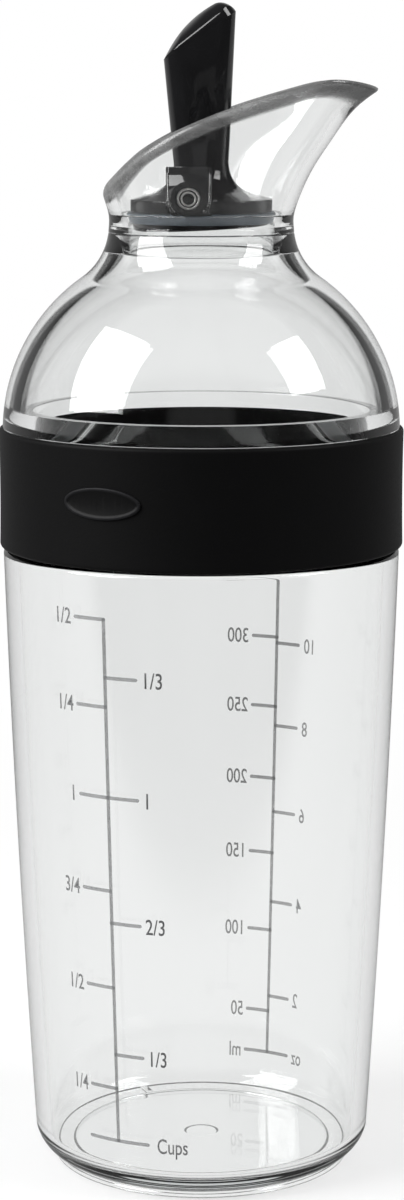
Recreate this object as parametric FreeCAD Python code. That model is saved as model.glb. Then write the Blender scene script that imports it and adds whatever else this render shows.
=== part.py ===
import FreeCAD, Part
import math
import os

# A salad dressing shaker bottle. Sizes are in millimetres. The bottle's axis is Z,
# the table is Z = 0, and the spout points along +X.

# Container
foot_radius = 28.6
foot_width = 3.8
foot_height = 1.4
foot_depth = 1.2
drain_notch_width = 2.4
drain_notch_angle = 115.0
gate_radius = 3.0
gate_depth = 0.5
base_radius = 32.2
base_curve_height = 5.8
base_curve_bulge = 0.65
shoulder_radius = 37.4
shoulder_height = 119.1
shoulder_round = 0.9
wall_bulge = 0.45
container_wall = 2.8
floor_thickness = 4.8
floor_corner_radius = 4.0
mouth_wall = 2.2
mouth_height = 16.8
inner_shoulder_rise = 5.0

# Lid: dome, skirt and grip band
thread_space = 1.2
skirt_wall = 1.4
lid_gap = 0.4
band_overhang = 0.6
band_thickness = 1.4
band_height = 22.4
band_edge_round = 0.7
band_waist = 0.12
band_clearance = 0.05
gasket_thickness = 1.5
gasket_inset = 0.15
dome_radius = 35.1
dome_inset = 0.7
dome_centre_drop = 1.0
dome_wall = 3.0
dome_ledge_rise = 3.5
dome_ledge_overhang = 0.2
neck_radius = 17.2
neck_blend_radius = 12.0
seam_drop = 1.6

# Pour spout
spout_height = 28.0
spout_flare = 3.9
beak_reach = 16.0
beak_sharpness = 7.0
section_points = 24
rim_back_reach = 0.9
spout_wall = 2.2
spigot_depth = 4.5
spigot_wall = 1.1
spigot_clearance = 0.1
spigot_step = 0.2
seat_rise = 3.7
seat_wall = 3.2
seat_flare = 0.5
# The wall, by shares: of the spout's height, of the sides' flare and of the beak's reach
spout_stations = [
    (0.0, 0.025, 0.006),
    (0.114, 0.0, 0.0),
    (0.268, 0.31, 0.0875),
    (0.429, 0.56, 0.225),
    (0.607, 0.77, 0.43),
    (0.786, 0.9, 0.656),
    (0.893, 0.95, 0.869),
    (1.036, 1.0, 1.27),
]
# The rim from the side, by shares: of the way from the back to the beak's tip, and of the height
rim_points = [
    (-0.115, 0.071),
    (0.0, 0.307),
    (0.138, 0.546),
    (0.384, 0.771),
    (0.708, 0.961),
    (0.834, 1.0),
    (1.0, 0.943),
    (1.094, 0.839),
]

# Stopper and lever
pin_offset = 2.16
pin_radius = 2.05
pin_bore_radius = 1.0
pin_recess = 0.15
boss_radius = 3.1
boss_clearance = 0.3
boss_bite = 0.75
pocket_wall = 1.0
pocket_height = 5.6
plate_inset = 0.8
plate_thickness = 1.5
plate_clearance = 0.3
seal_clearance = 0.5
seal_taper = 0.4
seal_height = 2.2
seal_width = 4.2
retainer_inset = 1.1
retainer_rear_thickness = 1.7
retainer_front_thickness = 0.4
fit_clearance = 0.05
stem_radius = 5.1
stem_height = 7.4
stem_foot_radius = 5.4
stem_foot_slope = 17.0
paddle_foot_inset = 0.2
paddle_foot_sink = 1.3
paddle_front = 6.3
paddle_rear_height = 26.1
paddle_length = 15.8
paddle_tilt = 33.6
paddle_width = 15.0
paddle_corner = 3.6
cap_height = 3.5
cap_edge_height = 0.5
cap_crest_setback = 2.6
# The thumb cap's side curve, by shares: of its height and of the crest's setback
cap_back_bulge = 0.33
cap_nose_height = 0.6
cap_nose_setback = 0.17
# Slices across the thumb cap, by shares of its half width
cap_slices = [-1, -0.92, -0.7, -0.35, 0, 0.35, 0.7, 0.92, 1]
scoop_offset = 1.6
scoop_axis_gap = 1.4
scoop_spread = 0.23
scoop_top_drop = 8.5
scoop_foot_rise = 4.5


def point(radius, height, side=0.0):
    return FreeCAD.Vector(radius, side, height)


def line(start, end):
    return Part.makeLine(start, end)


def arc(start, middle, end):
    return Part.Arc(start, middle, end).toShape()


def revolved(edges):
    face = Part.Face(Part.Wire(edges))
    return face.revolve(FreeCAD.Vector(0, 0, 0), FreeCAD.Vector(0, 0, 1), 360)


def outline(points):
    # Straight edges through the points and back to the first
    return [line(a, b) for a, b in zip(points, points[1:] + points[:1])]


def on_circle(centre, radius, degrees):
    turn = math.radians(degrees)
    return centre + FreeCAD.Vector(radius * math.cos(turn), 0, radius * math.sin(turn))


def ring(inner, outer, bottom, top):
    tube = Part.makeCylinder(outer, top - bottom, FreeCAD.Vector(0, 0, bottom))
    return tube.cut(Part.makeCylinder(inner, top - bottom, FreeCAD.Vector(0, 0, bottom)))


# Heights and radii that follow from the sizes above
floor_height = foot_depth + floor_thickness
band_radius = shoulder_radius + band_overhang
skirt_radius = band_radius - band_thickness
skirt_inner_radius = skirt_radius - skirt_wall
mouth_radius = skirt_inner_radius - thread_space
mouth_inner_radius = mouth_radius - mouth_wall
mouth_top = shoulder_height + mouth_height
skirt_bottom = shoulder_height + lid_gap
band_top = skirt_bottom + band_height
gasket_top = mouth_top + gasket_thickness
dome_foot_radius = band_radius - dome_inset
dome_offset = dome_foot_radius - math.sqrt(dome_radius ** 2 - dome_centre_drop ** 2)
dome_centre = point(dome_offset, band_top - dome_centre_drop)
blend_centre_radius = neck_radius + neck_blend_radius
blend_reach = dome_radius + neck_blend_radius
blend_centre_rise = math.sqrt(blend_reach ** 2 - (blend_centre_radius - dome_offset) ** 2)
blend_centre = point(blend_centre_radius, dome_centre.z + blend_centre_rise)
seam_height = blend_centre.z - seam_drop
seat_top = seam_height + seat_rise
seat_bore_radius = neck_radius - seat_wall
spigot_radius = seat_bore_radius + spigot_step + spigot_wall
neck_bore_radius = spigot_radius + spigot_clearance
rim_back = -neck_radius - rim_back_reach
rim_tip = neck_radius + beak_reach
seal_radius = seat_bore_radius + seat_flare - seal_clearance
seal_hole_radius = seal_radius - seal_width
plate_radius = seal_radius - plate_inset
retainer_radius = seal_radius - retainer_inset
plate_bottom = seat_top + plate_clearance
plate_top = plate_bottom + plate_thickness
seal_bottom = plate_bottom - seal_height
stem_top = plate_top + stem_height
pin_centre = point(-pin_offset, seat_top + boss_clearance + boss_radius)
pocket_face = seal_radius + boss_clearance
boss_end = pocket_face + boss_bite


def wall_radius(height):
    share = (height - base_curve_height) / (shoulder_height - base_curve_height)
    straight = base_radius + (shoulder_radius - base_radius) * share
    return straight + 4 * wall_bulge * share * (1 - share)


def wall_point(height, inset=0.0):
    return point(wall_radius(height) - inset, height)


def container():
    foot_inner = foot_radius - foot_width
    foot_top = point(foot_radius, foot_height)
    base_end = wall_point(base_curve_height)
    base_chord = base_end - foot_top
    outward = FreeCAD.Vector(base_chord.z, 0, -base_chord.x).normalize()
    base_middle = foot_top + base_chord * 0.5 + outward * base_curve_bulge
    wall_end = wall_point(shoulder_height - shoulder_round)
    wall_middle = wall_point((base_curve_height + wall_end.z) / 2)
    shoulder_edge = point(wall_end.x - shoulder_round, shoulder_height)
    shoulder_centre = point(shoulder_edge.x, wall_end.z)
    shoulder_middle = on_circle(shoulder_centre, shoulder_round, 45)
    inner_top_height = shoulder_height - inner_shoulder_rise
    inner_top = wall_point(inner_top_height, container_wall)
    corner_top = wall_point(floor_height + floor_corner_radius, container_wall)
    inner_middle = wall_point((inner_top.z + corner_top.z) / 2, container_wall)
    corner_bottom = point(corner_top.x - floor_corner_radius, floor_height)
    corner_centre = point(corner_bottom.x, corner_top.z)
    corner_middle = on_circle(corner_centre, floor_corner_radius, -45)
    gate_height = foot_depth + gate_depth
    edges = outline([
        shoulder_edge,
        point(mouth_radius, shoulder_height),
        point(mouth_radius, mouth_top),
        point(mouth_inner_radius, mouth_top),
        point(mouth_inner_radius, shoulder_height),
        inner_top,
    ])[:-1]
    edges.append(arc(inner_top, inner_middle, corner_top))
    edges.append(arc(corner_top, corner_middle, corner_bottom))
    edges += outline([
        corner_bottom,
        point(0, floor_height),
        point(0, gate_height),
        point(gate_radius, gate_height),
        point(gate_radius, foot_depth),
        point(foot_inner, foot_depth),
        point(foot_inner, 0),
        point(foot_radius, 0),
        foot_top,
    ])[:-1]
    edges.append(arc(foot_top, base_middle, base_end))
    edges.append(arc(base_end, wall_middle, wall_end))
    edges.append(arc(wall_end, shoulder_middle, shoulder_edge))
    body = revolved(edges)
    notch = Part.makeBox(2 * foot_width, drain_notch_width, foot_depth)
    notch.translate(FreeCAD.Vector(foot_inner - foot_width / 2, -drain_notch_width / 2, 0))
    notch.rotate(FreeCAD.Vector(0, 0, 0), FreeCAD.Vector(0, 0, 1), drain_notch_angle)
    return body.cut(notch)


def lid_dome():
    inner_radius = dome_radius - dome_wall
    ledge_height = band_top + dome_ledge_rise
    ledge_radius = mouth_inner_radius - dome_ledge_overhang
    blend_start = math.degrees(math.atan2(blend_centre_rise, blend_centre_radius - dome_offset))
    outer_start = math.degrees(math.asin((band_top - dome_centre.z) / dome_radius))
    inner_start = math.degrees(math.asin((ledge_height - dome_centre.z) / inner_radius))
    seam_angle = 180 + math.degrees(math.asin(seam_drop / neck_blend_radius))
    inner_blend_radius = neck_blend_radius + dome_wall
    bore_cosine = (blend_centre_radius - neck_bore_radius) / inner_blend_radius
    bore_angle = 180 + math.degrees(math.acos(bore_cosine))
    meeting_angle = 180 + blend_start

    def dome_arc(radius, start, end):
        angles = [start, (start + end) / 2, end]
        return arc(*[on_circle(dome_centre, radius, angle) for angle in angles])

    def blend_arc(radius, start, end):
        angles = [start, (start + end) / 2, end]
        return arc(*[on_circle(blend_centre, radius, angle) for angle in angles])

    dome_foot = on_circle(dome_centre, dome_radius, outer_start)
    seam_edge = on_circle(blend_centre, neck_blend_radius, seam_angle)
    bore_start = on_circle(blend_centre, inner_blend_radius, bore_angle)
    inner_foot = on_circle(dome_centre, inner_radius, inner_start)
    edges = [
        dome_arc(dome_radius, outer_start, blend_start),
        blend_arc(neck_blend_radius, meeting_angle, seam_angle),
        line(seam_edge, point(neck_bore_radius, seam_height)),
        line(point(neck_bore_radius, seam_height), bore_start),
        blend_arc(inner_blend_radius, bore_angle, meeting_angle),
        dome_arc(inner_radius, blend_start, inner_start),
    ]
    edges += outline([
        inner_foot,
        point(ledge_radius, ledge_height),
        point(ledge_radius, gasket_top),
        point(skirt_inner_radius, gasket_top),
        point(skirt_inner_radius, skirt_bottom),
        point(skirt_radius, skirt_bottom),
        point(skirt_radius, band_top),
        dome_foot,
    ])[:-1]
    return revolved(edges)


def grip_band():
    inner = skirt_radius + band_clearance
    bottom = skirt_bottom
    top = band_top - band_clearance
    middle = (bottom + top) / 2
    low = point(band_radius, bottom + band_edge_round)
    high = point(band_radius, top - band_edge_round)
    low_centre = point(band_radius - band_edge_round, low.z)
    high_centre = point(band_radius - band_edge_round, high.z)
    low_end = point(low_centre.x, bottom)
    high_end = point(high_centre.x, top)
    edges = [
        line(point(inner, top), point(inner, bottom)),
        line(point(inner, bottom), low_end),
        arc(low_end, on_circle(low_centre, band_edge_round, -45), low),
        arc(low, point(band_radius - band_waist, middle), high),
        arc(high, on_circle(high_centre, band_edge_round, 45), high_end),
        line(high_end, point(inner, top)),
    ]
    return revolved(edges)


def lid_gasket():
    inner = mouth_inner_radius + gasket_inset
    outer = mouth_radius - gasket_inset
    return ring(inner, outer, mouth_top, gasket_top)


def spout_section(height_share, side_share, front_share, inset):
    # One level outline of the spout: round, with a beak pulled out towards +X
    height = seam_height + spout_height * height_share
    side = spout_flare * side_share
    front = beak_reach * front_share
    points = []
    for step in range(section_points):
        turn = 2 * math.pi * step / section_points
        pull = ((1 + math.cos(turn)) / 2) ** beak_sharpness
        reach = neck_radius + side + (front - side) * pull - inset
        points.append(point(reach * math.cos(turn), height, reach * math.sin(turn)))
    curve = Part.BSplineCurve()
    curve.interpolate(points, PeriodicFlag=True)
    return Part.Wire(curve.toShape())


def spout_body(inset):
    sections = [spout_section(*station, inset) for station in spout_stations]
    return Part.makeLoft(sections, True, False)


def above_rim():
    # Everything over the rim's side-view curve
    points = []
    for way, height_share in rim_points:
        points.append(point(rim_back + way * (rim_tip - rim_back), seam_height + spout_height * height_share))
    curve = Part.BSplineCurve()
    curve.interpolate(points)
    ceiling = seam_height + 2 * spout_height
    first = points[0]
    last = points[-1]
    edges = [curve.toShape()]
    edges += outline([last, point(last.x, ceiling), point(first.x, ceiling), first])[:-1]
    half_width = 2 * (neck_radius + spout_flare)
    face = Part.Face(Part.Wire(edges))
    face.translate(FreeCAD.Vector(0, -half_width, 0))
    return face.extrude(FreeCAD.Vector(0, 2 * half_width, 0))


def pocket_block(outside, side):
    # A pad on the inner wall that carries the U-shaped seat of one boss
    half_length = boss_radius + boss_clearance + pocket_wall
    height = pin_centre.z + pocket_height - seat_top
    pad = Part.makeBox(2 * half_length, 2 * neck_radius, height)
    pad.translate(FreeCAD.Vector(pin_centre.x - half_length, pocket_face, seat_top))
    if side < 0:
        pad = pad.mirror(FreeCAD.Vector(0, 0, 0), FreeCAD.Vector(0, 1, 0))
    return pad.common(outside)


def pocket_slot(side):
    radius = boss_radius + boss_clearance
    start = pocket_face - boss_bite
    length = boss_end + boss_clearance - start
    hole = Part.makeCylinder(radius, length, FreeCAD.Vector(pin_centre.x, start, pin_centre.z),
                             FreeCAD.Vector(0, 1, 0))
    way_in = Part.makeBox(2 * radius, length, 2 * pocket_height)
    way_in.translate(FreeCAD.Vector(pin_centre.x - radius, start, pin_centre.z))
    slot = hole.fuse(way_in)
    if side < 0:
        slot = slot.mirror(FreeCAD.Vector(0, 0, 0), FreeCAD.Vector(0, 1, 0))
    return slot


def pour_spout():
    outside = spout_body(0)
    over_seat = Part.makeCylinder(2 * rim_tip, 2 * spout_height, FreeCAD.Vector(0, 0, seat_top))
    hollow = spout_body(spout_wall).common(over_seat)
    shell = outside.cut(hollow)
    for side in (1, -1):
        shell = shell.fuse(pocket_block(outside, side))
    for side in (1, -1):
        shell = shell.cut(pocket_slot(side))
    spigot = Part.makeCylinder(spigot_radius, spigot_depth + seat_rise / 2,
                               FreeCAD.Vector(0, 0, seam_height - spigot_depth))
    shell = shell.fuse(spigot)
    bore = Part.makeCylinder(seat_bore_radius, 2 * spigot_depth + seat_rise,
                             FreeCAD.Vector(0, 0, seam_height - 2 * spigot_depth))
    flare = Part.makeCone(seat_bore_radius, seat_bore_radius + seat_flare, seat_top - seal_bottom,
                          FreeCAD.Vector(0, 0, seal_bottom))
    return shell.cut(bore).cut(flare).cut(above_rim()).removeSplitter()


def rounded_rectangle(length, width, corner, placement):
    # A rectangle with round corners, flat in XY about its centre, then placed
    half_length = length / 2
    half_width = width / 2
    corners = [(1, 1, 0), (-1, 1, 90), (-1, -1, 180), (1, -1, 270)]
    rims = []
    for sign_x, sign_y, start in corners:
        centre = FreeCAD.Vector(sign_x * (half_length - corner), sign_y * (half_width - corner), 0)
        rim = []
        for degrees in (start, start + 45, start + 90):
            turn = math.radians(degrees)
            rim.append(centre + FreeCAD.Vector(corner * math.cos(turn), corner * math.sin(turn), 0))
        rims.append(rim)
    edges = []
    for rim, next_rim in zip(rims, rims[1:] + rims[:1]):
        edges.append(arc(*rim))
        edges.append(line(rim[-1], next_rim[0]))
    wire = Part.Wire(edges)
    wire.Placement = placement
    return wire


def paddle_top_placement():
    # The tilted parting plane between paddle and thumb cap, centred on the paddle
    tilt = math.radians(paddle_tilt)
    rear_x = paddle_front - paddle_length * math.cos(tilt)
    rear = point(rear_x, plate_top + paddle_rear_height)
    centre = rear + FreeCAD.Vector(math.cos(tilt), 0, math.sin(tilt)) * (paddle_length / 2)
    turn = FreeCAD.Rotation(FreeCAD.Vector(0, 1, 0), -paddle_tilt)
    return FreeCAD.Placement(centre, turn)


def paddle():
    width = 2 * (stem_radius - paddle_foot_inset)
    corner = width / 2 - 2 * paddle_foot_inset
    bottom_place = FreeCAD.Placement(FreeCAD.Vector(0, 0, stem_top - paddle_foot_sink), FreeCAD.Rotation())
    bottom = rounded_rectangle(width, width, corner, bottom_place)
    top = rounded_rectangle(paddle_length, paddle_width, paddle_corner, paddle_top_placement())
    return Part.makeLoft([bottom, top], True, True)


def stem_and_plate():
    # The plate with a trumpet-shaped foot that sweeps up into the round stem
    foot_centre = point(stem_radius + stem_foot_radius, stem_top)
    slope = math.radians(stem_foot_slope)
    foot_end = on_circle(foot_centre, stem_foot_radius, 270 - stem_foot_slope)
    foot_middle = on_circle(foot_centre, stem_foot_radius, 225 - stem_foot_slope / 2)
    plate_edge = foot_end.z - (plate_radius - foot_end.x) * math.tan(slope)
    edges = [arc(point(stem_radius, stem_top), foot_middle, foot_end)]
    edges += outline([
        foot_end,
        point(plate_radius, plate_edge),
        point(plate_radius, plate_bottom),
        point(0, plate_bottom),
        point(0, stem_top),
        point(stem_radius, stem_top),
    ])[:-1]
    return revolved(edges)


def along_pin(radius, half_length):
    start = pin_centre - FreeCAD.Vector(0, half_length, 0)
    return Part.makeCylinder(radius, 2 * half_length, start, FreeCAD.Vector(0, 1, 0))


def scoop(side):
    # A hollow in the paddle's side whose edge on the flat is a pointed arch
    paddle_rise = paddle_length * math.sin(math.radians(paddle_tilt))
    apex = plate_top + paddle_rear_height + paddle_rise - scoop_top_drop
    foot = stem_top + scoop_foot_rise
    height = apex - foot + scoop_axis_gap / scoop_spread
    axis_y = side * (paddle_width / 2 + scoop_axis_gap)
    return Part.makeCone(height * scoop_spread, 0, height, FreeCAD.Vector(scoop_offset, axis_y, foot))


def stopper_lever():
    body = stem_and_plate().fuse(along_pin(boss_radius, boss_end)).fuse(paddle())
    body = body.cut(along_pin(pin_radius + fit_clearance, 2 * boss_end))
    for side in (1, -1):
        body = body.cut(scoop(side))
    return body.removeSplitter()


def cap_section(offset):
    # One lengthwise slice of the thumb cap, lower towards the paddle's two sides
    share = offset / (paddle_width / 2)
    height = cap_edge_height + (cap_height - cap_edge_height) * math.sqrt(1 - share * share)
    half = paddle_length / 2
    rear = FreeCAD.Vector(-half, offset, 0)
    front = FreeCAD.Vector(half, offset, 0)
    crest = FreeCAD.Vector(half - cap_crest_setback, offset, height)
    back = (rear + crest) * 0.5 + FreeCAD.Vector(0, 0, height * cap_back_bulge)
    nose = FreeCAD.Vector(half - cap_crest_setback * cap_nose_setback, offset, height * cap_nose_height)
    edges = [arc(rear, back, crest), arc(crest, nose, front), line(front, rear)]
    return Part.Wire(edges)


def lever_cap():
    half = paddle_width / 2
    pillow = Part.makeLoft([cap_section(half * share) for share in cap_slices], True, False)
    flat = FreeCAD.Placement()
    outline_face = Part.Face(rounded_rectangle(paddle_length, paddle_width, paddle_corner, flat))
    cap = pillow.common(outline_face.extrude(FreeCAD.Vector(0, 0, 2 * cap_height)))
    cap.Placement = paddle_top_placement()
    return cap


def stopper_seal():
    low = seal_radius - seal_taper
    edges = outline([
        point(seal_hole_radius, seal_bottom),
        point(low, seal_bottom),
        point(seal_radius, plate_bottom),
        point(seal_hole_radius, plate_bottom),
    ])
    return revolved(edges)


def seal_retainer():
    # A disc under the seal, thinner in front where it swings up past the seat
    hub = Part.makeCylinder(seal_hole_radius - fit_clearance, seal_height, FreeCAD.Vector(0, 0, seal_bottom))
    disc = Part.makeCylinder(retainer_radius, retainer_rear_thickness,
                             FreeCAD.Vector(0, 0, seal_bottom - retainer_rear_thickness))
    rear = point(-retainer_radius, seal_bottom - retainer_rear_thickness)
    front = point(retainer_radius, seal_bottom - retainer_front_thickness)
    below = seal_bottom - 2 * retainer_rear_thickness
    side_face = Part.Face(Part.Wire(outline([
        rear, front, point(front.x, below), point(rear.x, below)])))
    side_face.translate(FreeCAD.Vector(0, -2 * retainer_radius, 0))
    wedge = side_face.extrude(FreeCAD.Vector(0, 4 * retainer_radius, 0))
    return disc.cut(wedge).fuse(hub).removeSplitter()


def pivot_pin():
    half = boss_end - pin_recess
    return along_pin(pin_radius, half).cut(along_pin(pin_bore_radius, half))


os.makedirs("parts", exist_ok=True)
makers = [container, lid_dome, grip_band, lid_gasket, pour_spout,
          stopper_lever, lever_cap, stopper_seal, seal_retainer, pivot_pin]
for maker in makers:
    maker().exportStep("parts/" + maker.__name__ + ".step")
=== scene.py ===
import math

import bmesh
import bpy
from bmesh.types import BMEdge, BMFace, BMVert
from bpy.props import FloatProperty, FloatVectorProperty, PointerProperty
from mathutils import Matrix, Vector


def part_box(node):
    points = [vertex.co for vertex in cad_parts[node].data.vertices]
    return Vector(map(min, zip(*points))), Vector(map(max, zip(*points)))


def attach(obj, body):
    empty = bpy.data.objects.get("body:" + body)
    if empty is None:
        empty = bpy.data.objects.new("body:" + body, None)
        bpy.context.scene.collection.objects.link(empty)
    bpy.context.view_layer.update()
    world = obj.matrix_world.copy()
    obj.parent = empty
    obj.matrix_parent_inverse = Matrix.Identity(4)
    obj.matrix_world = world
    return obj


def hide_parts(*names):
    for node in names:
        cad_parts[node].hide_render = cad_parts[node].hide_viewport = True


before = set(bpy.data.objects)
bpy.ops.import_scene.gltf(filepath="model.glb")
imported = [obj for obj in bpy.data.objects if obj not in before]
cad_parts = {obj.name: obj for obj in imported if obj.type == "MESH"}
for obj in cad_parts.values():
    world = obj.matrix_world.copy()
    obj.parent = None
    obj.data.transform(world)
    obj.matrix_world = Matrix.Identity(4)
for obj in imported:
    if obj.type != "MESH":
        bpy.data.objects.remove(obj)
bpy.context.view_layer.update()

bl_info = {
    "name": "Shaker bottle",
    "version": (1, 0, 0),
    "blender": (4, 5, 0),
    "location": "View3D > Sidebar > Bottle",
    "description": "Dresses a salad dressing shaker bottle: clear vessel, grip band, spout and stopper",
    "category": "Object",
}

MM = 0.001

# Steps of a full turn, for large clear walls and for small pieces
WALL_STEPS = 256
SMALL_STEPS = 96
# The point attributes that mark the spout's lip, where a grey band of shade is painted, the pad's rim,
# where a highlight is painted, and the scales' lettering
LIP_MARK = "lip"
LETTER_MARK = "lettering"
# A run of an outline is held flat where it is this many times as long as the stretch beside it,
# and that stretch is longer than HELD_END
LONG_RUN = 4
HELD_END = 0.001 * MM
# The distance within which points are merged
MERGE_DISTANCE = 1e-7
# The distance within which two places count as one
NEAR = 0.01 * MM
# The play between pieces that fit into each other
FIT_GAP = 0.05 * MM


def radius_of(node):
    """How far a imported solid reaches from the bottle's axis."""
    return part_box(node)[1].y


def foot_of(node):
    """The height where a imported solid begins."""
    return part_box(node)[0].z


def top_of(node):
    """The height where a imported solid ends."""
    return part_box(node)[1].z


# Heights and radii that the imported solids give
BAND_RADIUS = radius_of("grip_band")
BAND_FOOT = foot_of("grip_band")
BAND_TOP = top_of("grip_band")
MOUTH_TOP = top_of("container")
SHOULDER_RADIUS = radius_of("container")
DOME_FOOT_RADIUS = radius_of("lid_dome")
SKIRT_FOOT = foot_of("lid_dome")
SEAM_HEIGHT = top_of("lid_dome")
GASKET_TOP = top_of("lid_gasket")
SEAL_RADIUS = radius_of("stopper_seal")
SEAL_FOOT = foot_of("stopper_seal")
PLATE_FOOT = foot_of("stopper_lever")
SPIGOT_FOOT = foot_of("pour_spout")
BOSS_END = radius_of("stopper_lever")
PIN_LOW, PIN_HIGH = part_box("pivot_pin")
PIN_CENTRE = (PIN_LOW + PIN_HIGH) / 2
PIN_RADIUS = (PIN_HIGH.z - PIN_LOW.z) / 2


class BottleSizes(bpy.types.PropertyGroup):
    """Sizes of the bottle that can be changed without moving its joints"""

    container_wall: FloatProperty(
        name="Container wall", description="Thickness of the container's side wall",
        default=2.8 * MM, unit="LENGTH")
    floor_thickness: FloatProperty(
        name="Floor", description="Thickness of the container's floor over the foot ring",
        default=3.2 * MM, unit="LENGTH")
    dome_wall: FloatProperty(
        name="Dome wall", description="Thickness of the lid's dome",
        default=3.0 * MM, unit="LENGTH")
    spout_wall: FloatProperty(
        name="Spout wall", description="Thickness of the pouring spout's wall",
        default=2.2 * MM, unit="LENGTH")
    edge_round: FloatProperty(
        name="Edge rounding", description="Rounding of the moulded pieces' small edges",
        default=0.25 * MM, unit="LENGTH")
    line_width: FloatProperty(
        name="Scale line", description="Width of the printed scales' lines",
        default=0.68 * MM, unit="LENGTH")
    label_height: FloatProperty(
        name="Scale digits", description="Height of the printed scales' digits",
        default=2.9 * MM, unit="LENGTH")


class BottleFinishes(bpy.types.PropertyGroup):
    """Colours of the bottle's materials"""

    clear: FloatVectorProperty(
        name="Clear plastic", description="Tint of the clear container, dome and spout",
        default=(0.985, 0.99, 0.988), size=3, min=0, max=1, subtype="COLOR")
    grip: FloatVectorProperty(
        name="Grip band", description="Colour of the soft matte band",
        default=(0.0016, 0.0016, 0.0018), size=3, min=0, max=1, subtype="COLOR")
    lever: FloatVectorProperty(
        name="Lever", description="Colour of the glossy stopper and lever",
        default=(0.006, 0.006, 0.0065), size=3, min=0, max=1, subtype="COLOR")
    seal: FloatVectorProperty(
        name="Stopper seal", description="Colour of the silicone ring under the stopper",
        default=(0.16, 0.19, 0.22), size=3, min=0, max=1, subtype="COLOR")
    gasket: FloatVectorProperty(
        name="Lid gasket", description="Colour of the silicone ring in the lid",
        default=(0.62, 0.64, 0.65), size=3, min=0, max=1, subtype="COLOR")
    steel: FloatVectorProperty(
        name="Pin", description="Colour of the steel pivot pin",
        default=(0.8, 0.79, 0.77), size=3, min=0, max=1, subtype="COLOR")
    print_ink: FloatVectorProperty(
        name="Scale ink", description="Colour of the printed scales",
        default=(0.2, 0.205, 0.21), size=3, min=0, max=1, subtype="COLOR")
    floor: FloatVectorProperty(
        name="Floor", description="Colour of the studio floor",
        default=(0.9, 0.9, 0.9), size=3, min=0, max=1, subtype="COLOR")


# Outlines

def arc_points(centre, radius, start, end, steps):
    """Points on a circle in the outline's plane, from one angle in degrees to another."""
    points = []
    for step in range(steps + 1):
        turn = math.radians(start + (end - start) * step / steps)
        points.append((centre[0] + radius * math.cos(turn), centre[1] + radius * math.sin(turn)))
    return points


def rounded_corner(before, corner, after, radius, steps=5):
    """The arc that rounds one corner of an outline."""
    here = Vector(corner)
    back = (Vector(before) - here).normalized()
    ahead = (Vector(after) - here).normalized()
    half = back.angle(ahead) / 2
    centre = here + (back + ahead).normalized() * (radius / math.sin(half))
    start = here + back * (radius / math.tan(half)) - centre
    end = here + ahead * (radius / math.tan(half)) - centre
    first = math.degrees(math.atan2(start.y, start.x))
    sweep = math.degrees(start.angle_signed(end))
    return arc_points(centre, radius, first, first - sweep, steps)


def outline(*stretches):
    """Joins points, rounded corners and arcs into one closed outline of (radius, height) points.

    A stretch is a list of points, or one corner (radius, height, rounding)."""
    flat = []
    for stretch in stretches:
        flat += stretch if isinstance(stretch, list) else [stretch]
    points = []
    for index, corner in enumerate(flat):
        if len(corner) == 2:
            points.append(corner)
            continue
        before = flat[index - 1][:2]
        after = flat[(index + 1) % len(flat)][:2]
        points += rounded_corner(before, corner[:2], after, corner[2])
    return points


def smooth_curve(points, at):
    """The height at one place of a smooth curve through (place, height) points."""
    last = len(points) - 2
    index = max(0, min(last, sum(1 for place, _ in points if place <= at) - 1))
    (x0, y0), (x1, y1) = points[index], points[index + 1]

    def slope(i):
        low, high = points[max(i - 1, 0)], points[min(i + 1, last + 1)]
        return (high[1] - low[1]) / (high[0] - low[0])

    width = x1 - x0
    t = (at - x0) / width
    rise = (y1 - y0) / width
    start, end = slope(index), slope(index + 1)
    return y0 + width * t * (start + t * ((3 * rise - 2 * start - end) + t * (start + end - 2 * rise)))


# Meshes

# The steps of a softened edge, and the angle in degrees from which an edge is softened
SOFT_STEPS = 2
SOFT_ANGLE = 30


def held_flat(points):
    """The outline with a point near each end of a long run, so that smooth shading leaves it flat."""
    held = []
    for index, point in enumerate(points):
        nearby = [points[(index + step) % len(points)] for step in (-1, 0, 1, 2)]
        before, start, end, after = (Vector(place) for place in nearby)
        run, lead, trail = end - start, (start - before).length, (after - end).length
        held.append(point)
        if start.x + end.x == 0:
            continue
        if HELD_END < lead < run.length / LONG_RUN:
            held.append(tuple(start + run.normalized() * lead))
        if HELD_END < trail < run.length / LONG_RUN:
            held.append(tuple(end - run.normalized() * trail))
    return held


def ring_mesh(points):
    """A mesh of the edges round a closed outline of (radius, height) points."""
    mesh = bmesh.new()
    corners = [mesh.verts.new((radius, 0, height)) for radius, height in points]
    for first, second in zip(corners, corners[1:] + corners[:1]):
        mesh.edges.new((first, second))
    return mesh


def lathe(points, steps):
    """A mesh spun once about Z from a closed outline of (radius, height) points."""
    mesh = ring_mesh(held_flat(points))
    geometry = mesh.verts[:] + mesh.edges[:]
    bmesh.ops.spin(mesh, geom=geometry, cent=(0, 0, 0), axis=(0, 0, 1), dvec=(0, 0, 0),
                   angle=2 * math.pi, steps=steps, use_merge=True)
    return closed(mesh)


def closed(mesh, nearness=MERGE_DISTANCE):
    """Merges doubled points, drops what collapsed on the axis and turns the faces outwards."""
    bmesh.ops.remove_doubles(mesh, verts=mesh.verts, dist=nearness)
    bmesh.ops.dissolve_degenerate(mesh, edges=mesh.edges, dist=nearness)
    loose = [edge for edge in mesh.edges if not edge.link_faces]
    bmesh.ops.delete(mesh, geom=loose, context="EDGES")
    bmesh.ops.recalc_face_normals(mesh, faces=mesh.faces)
    return mesh


def box_mesh(low, high):
    """A closed box between two corners."""
    mesh = bmesh.new()
    bmesh.ops.create_cube(mesh, size=1)
    size = Vector(high) - Vector(low)
    bmesh.ops.scale(mesh, vec=size, verts=mesh.verts)
    bmesh.ops.translate(mesh, vec=(Vector(high) + Vector(low)) / 2, verts=mesh.verts)
    return mesh


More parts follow.
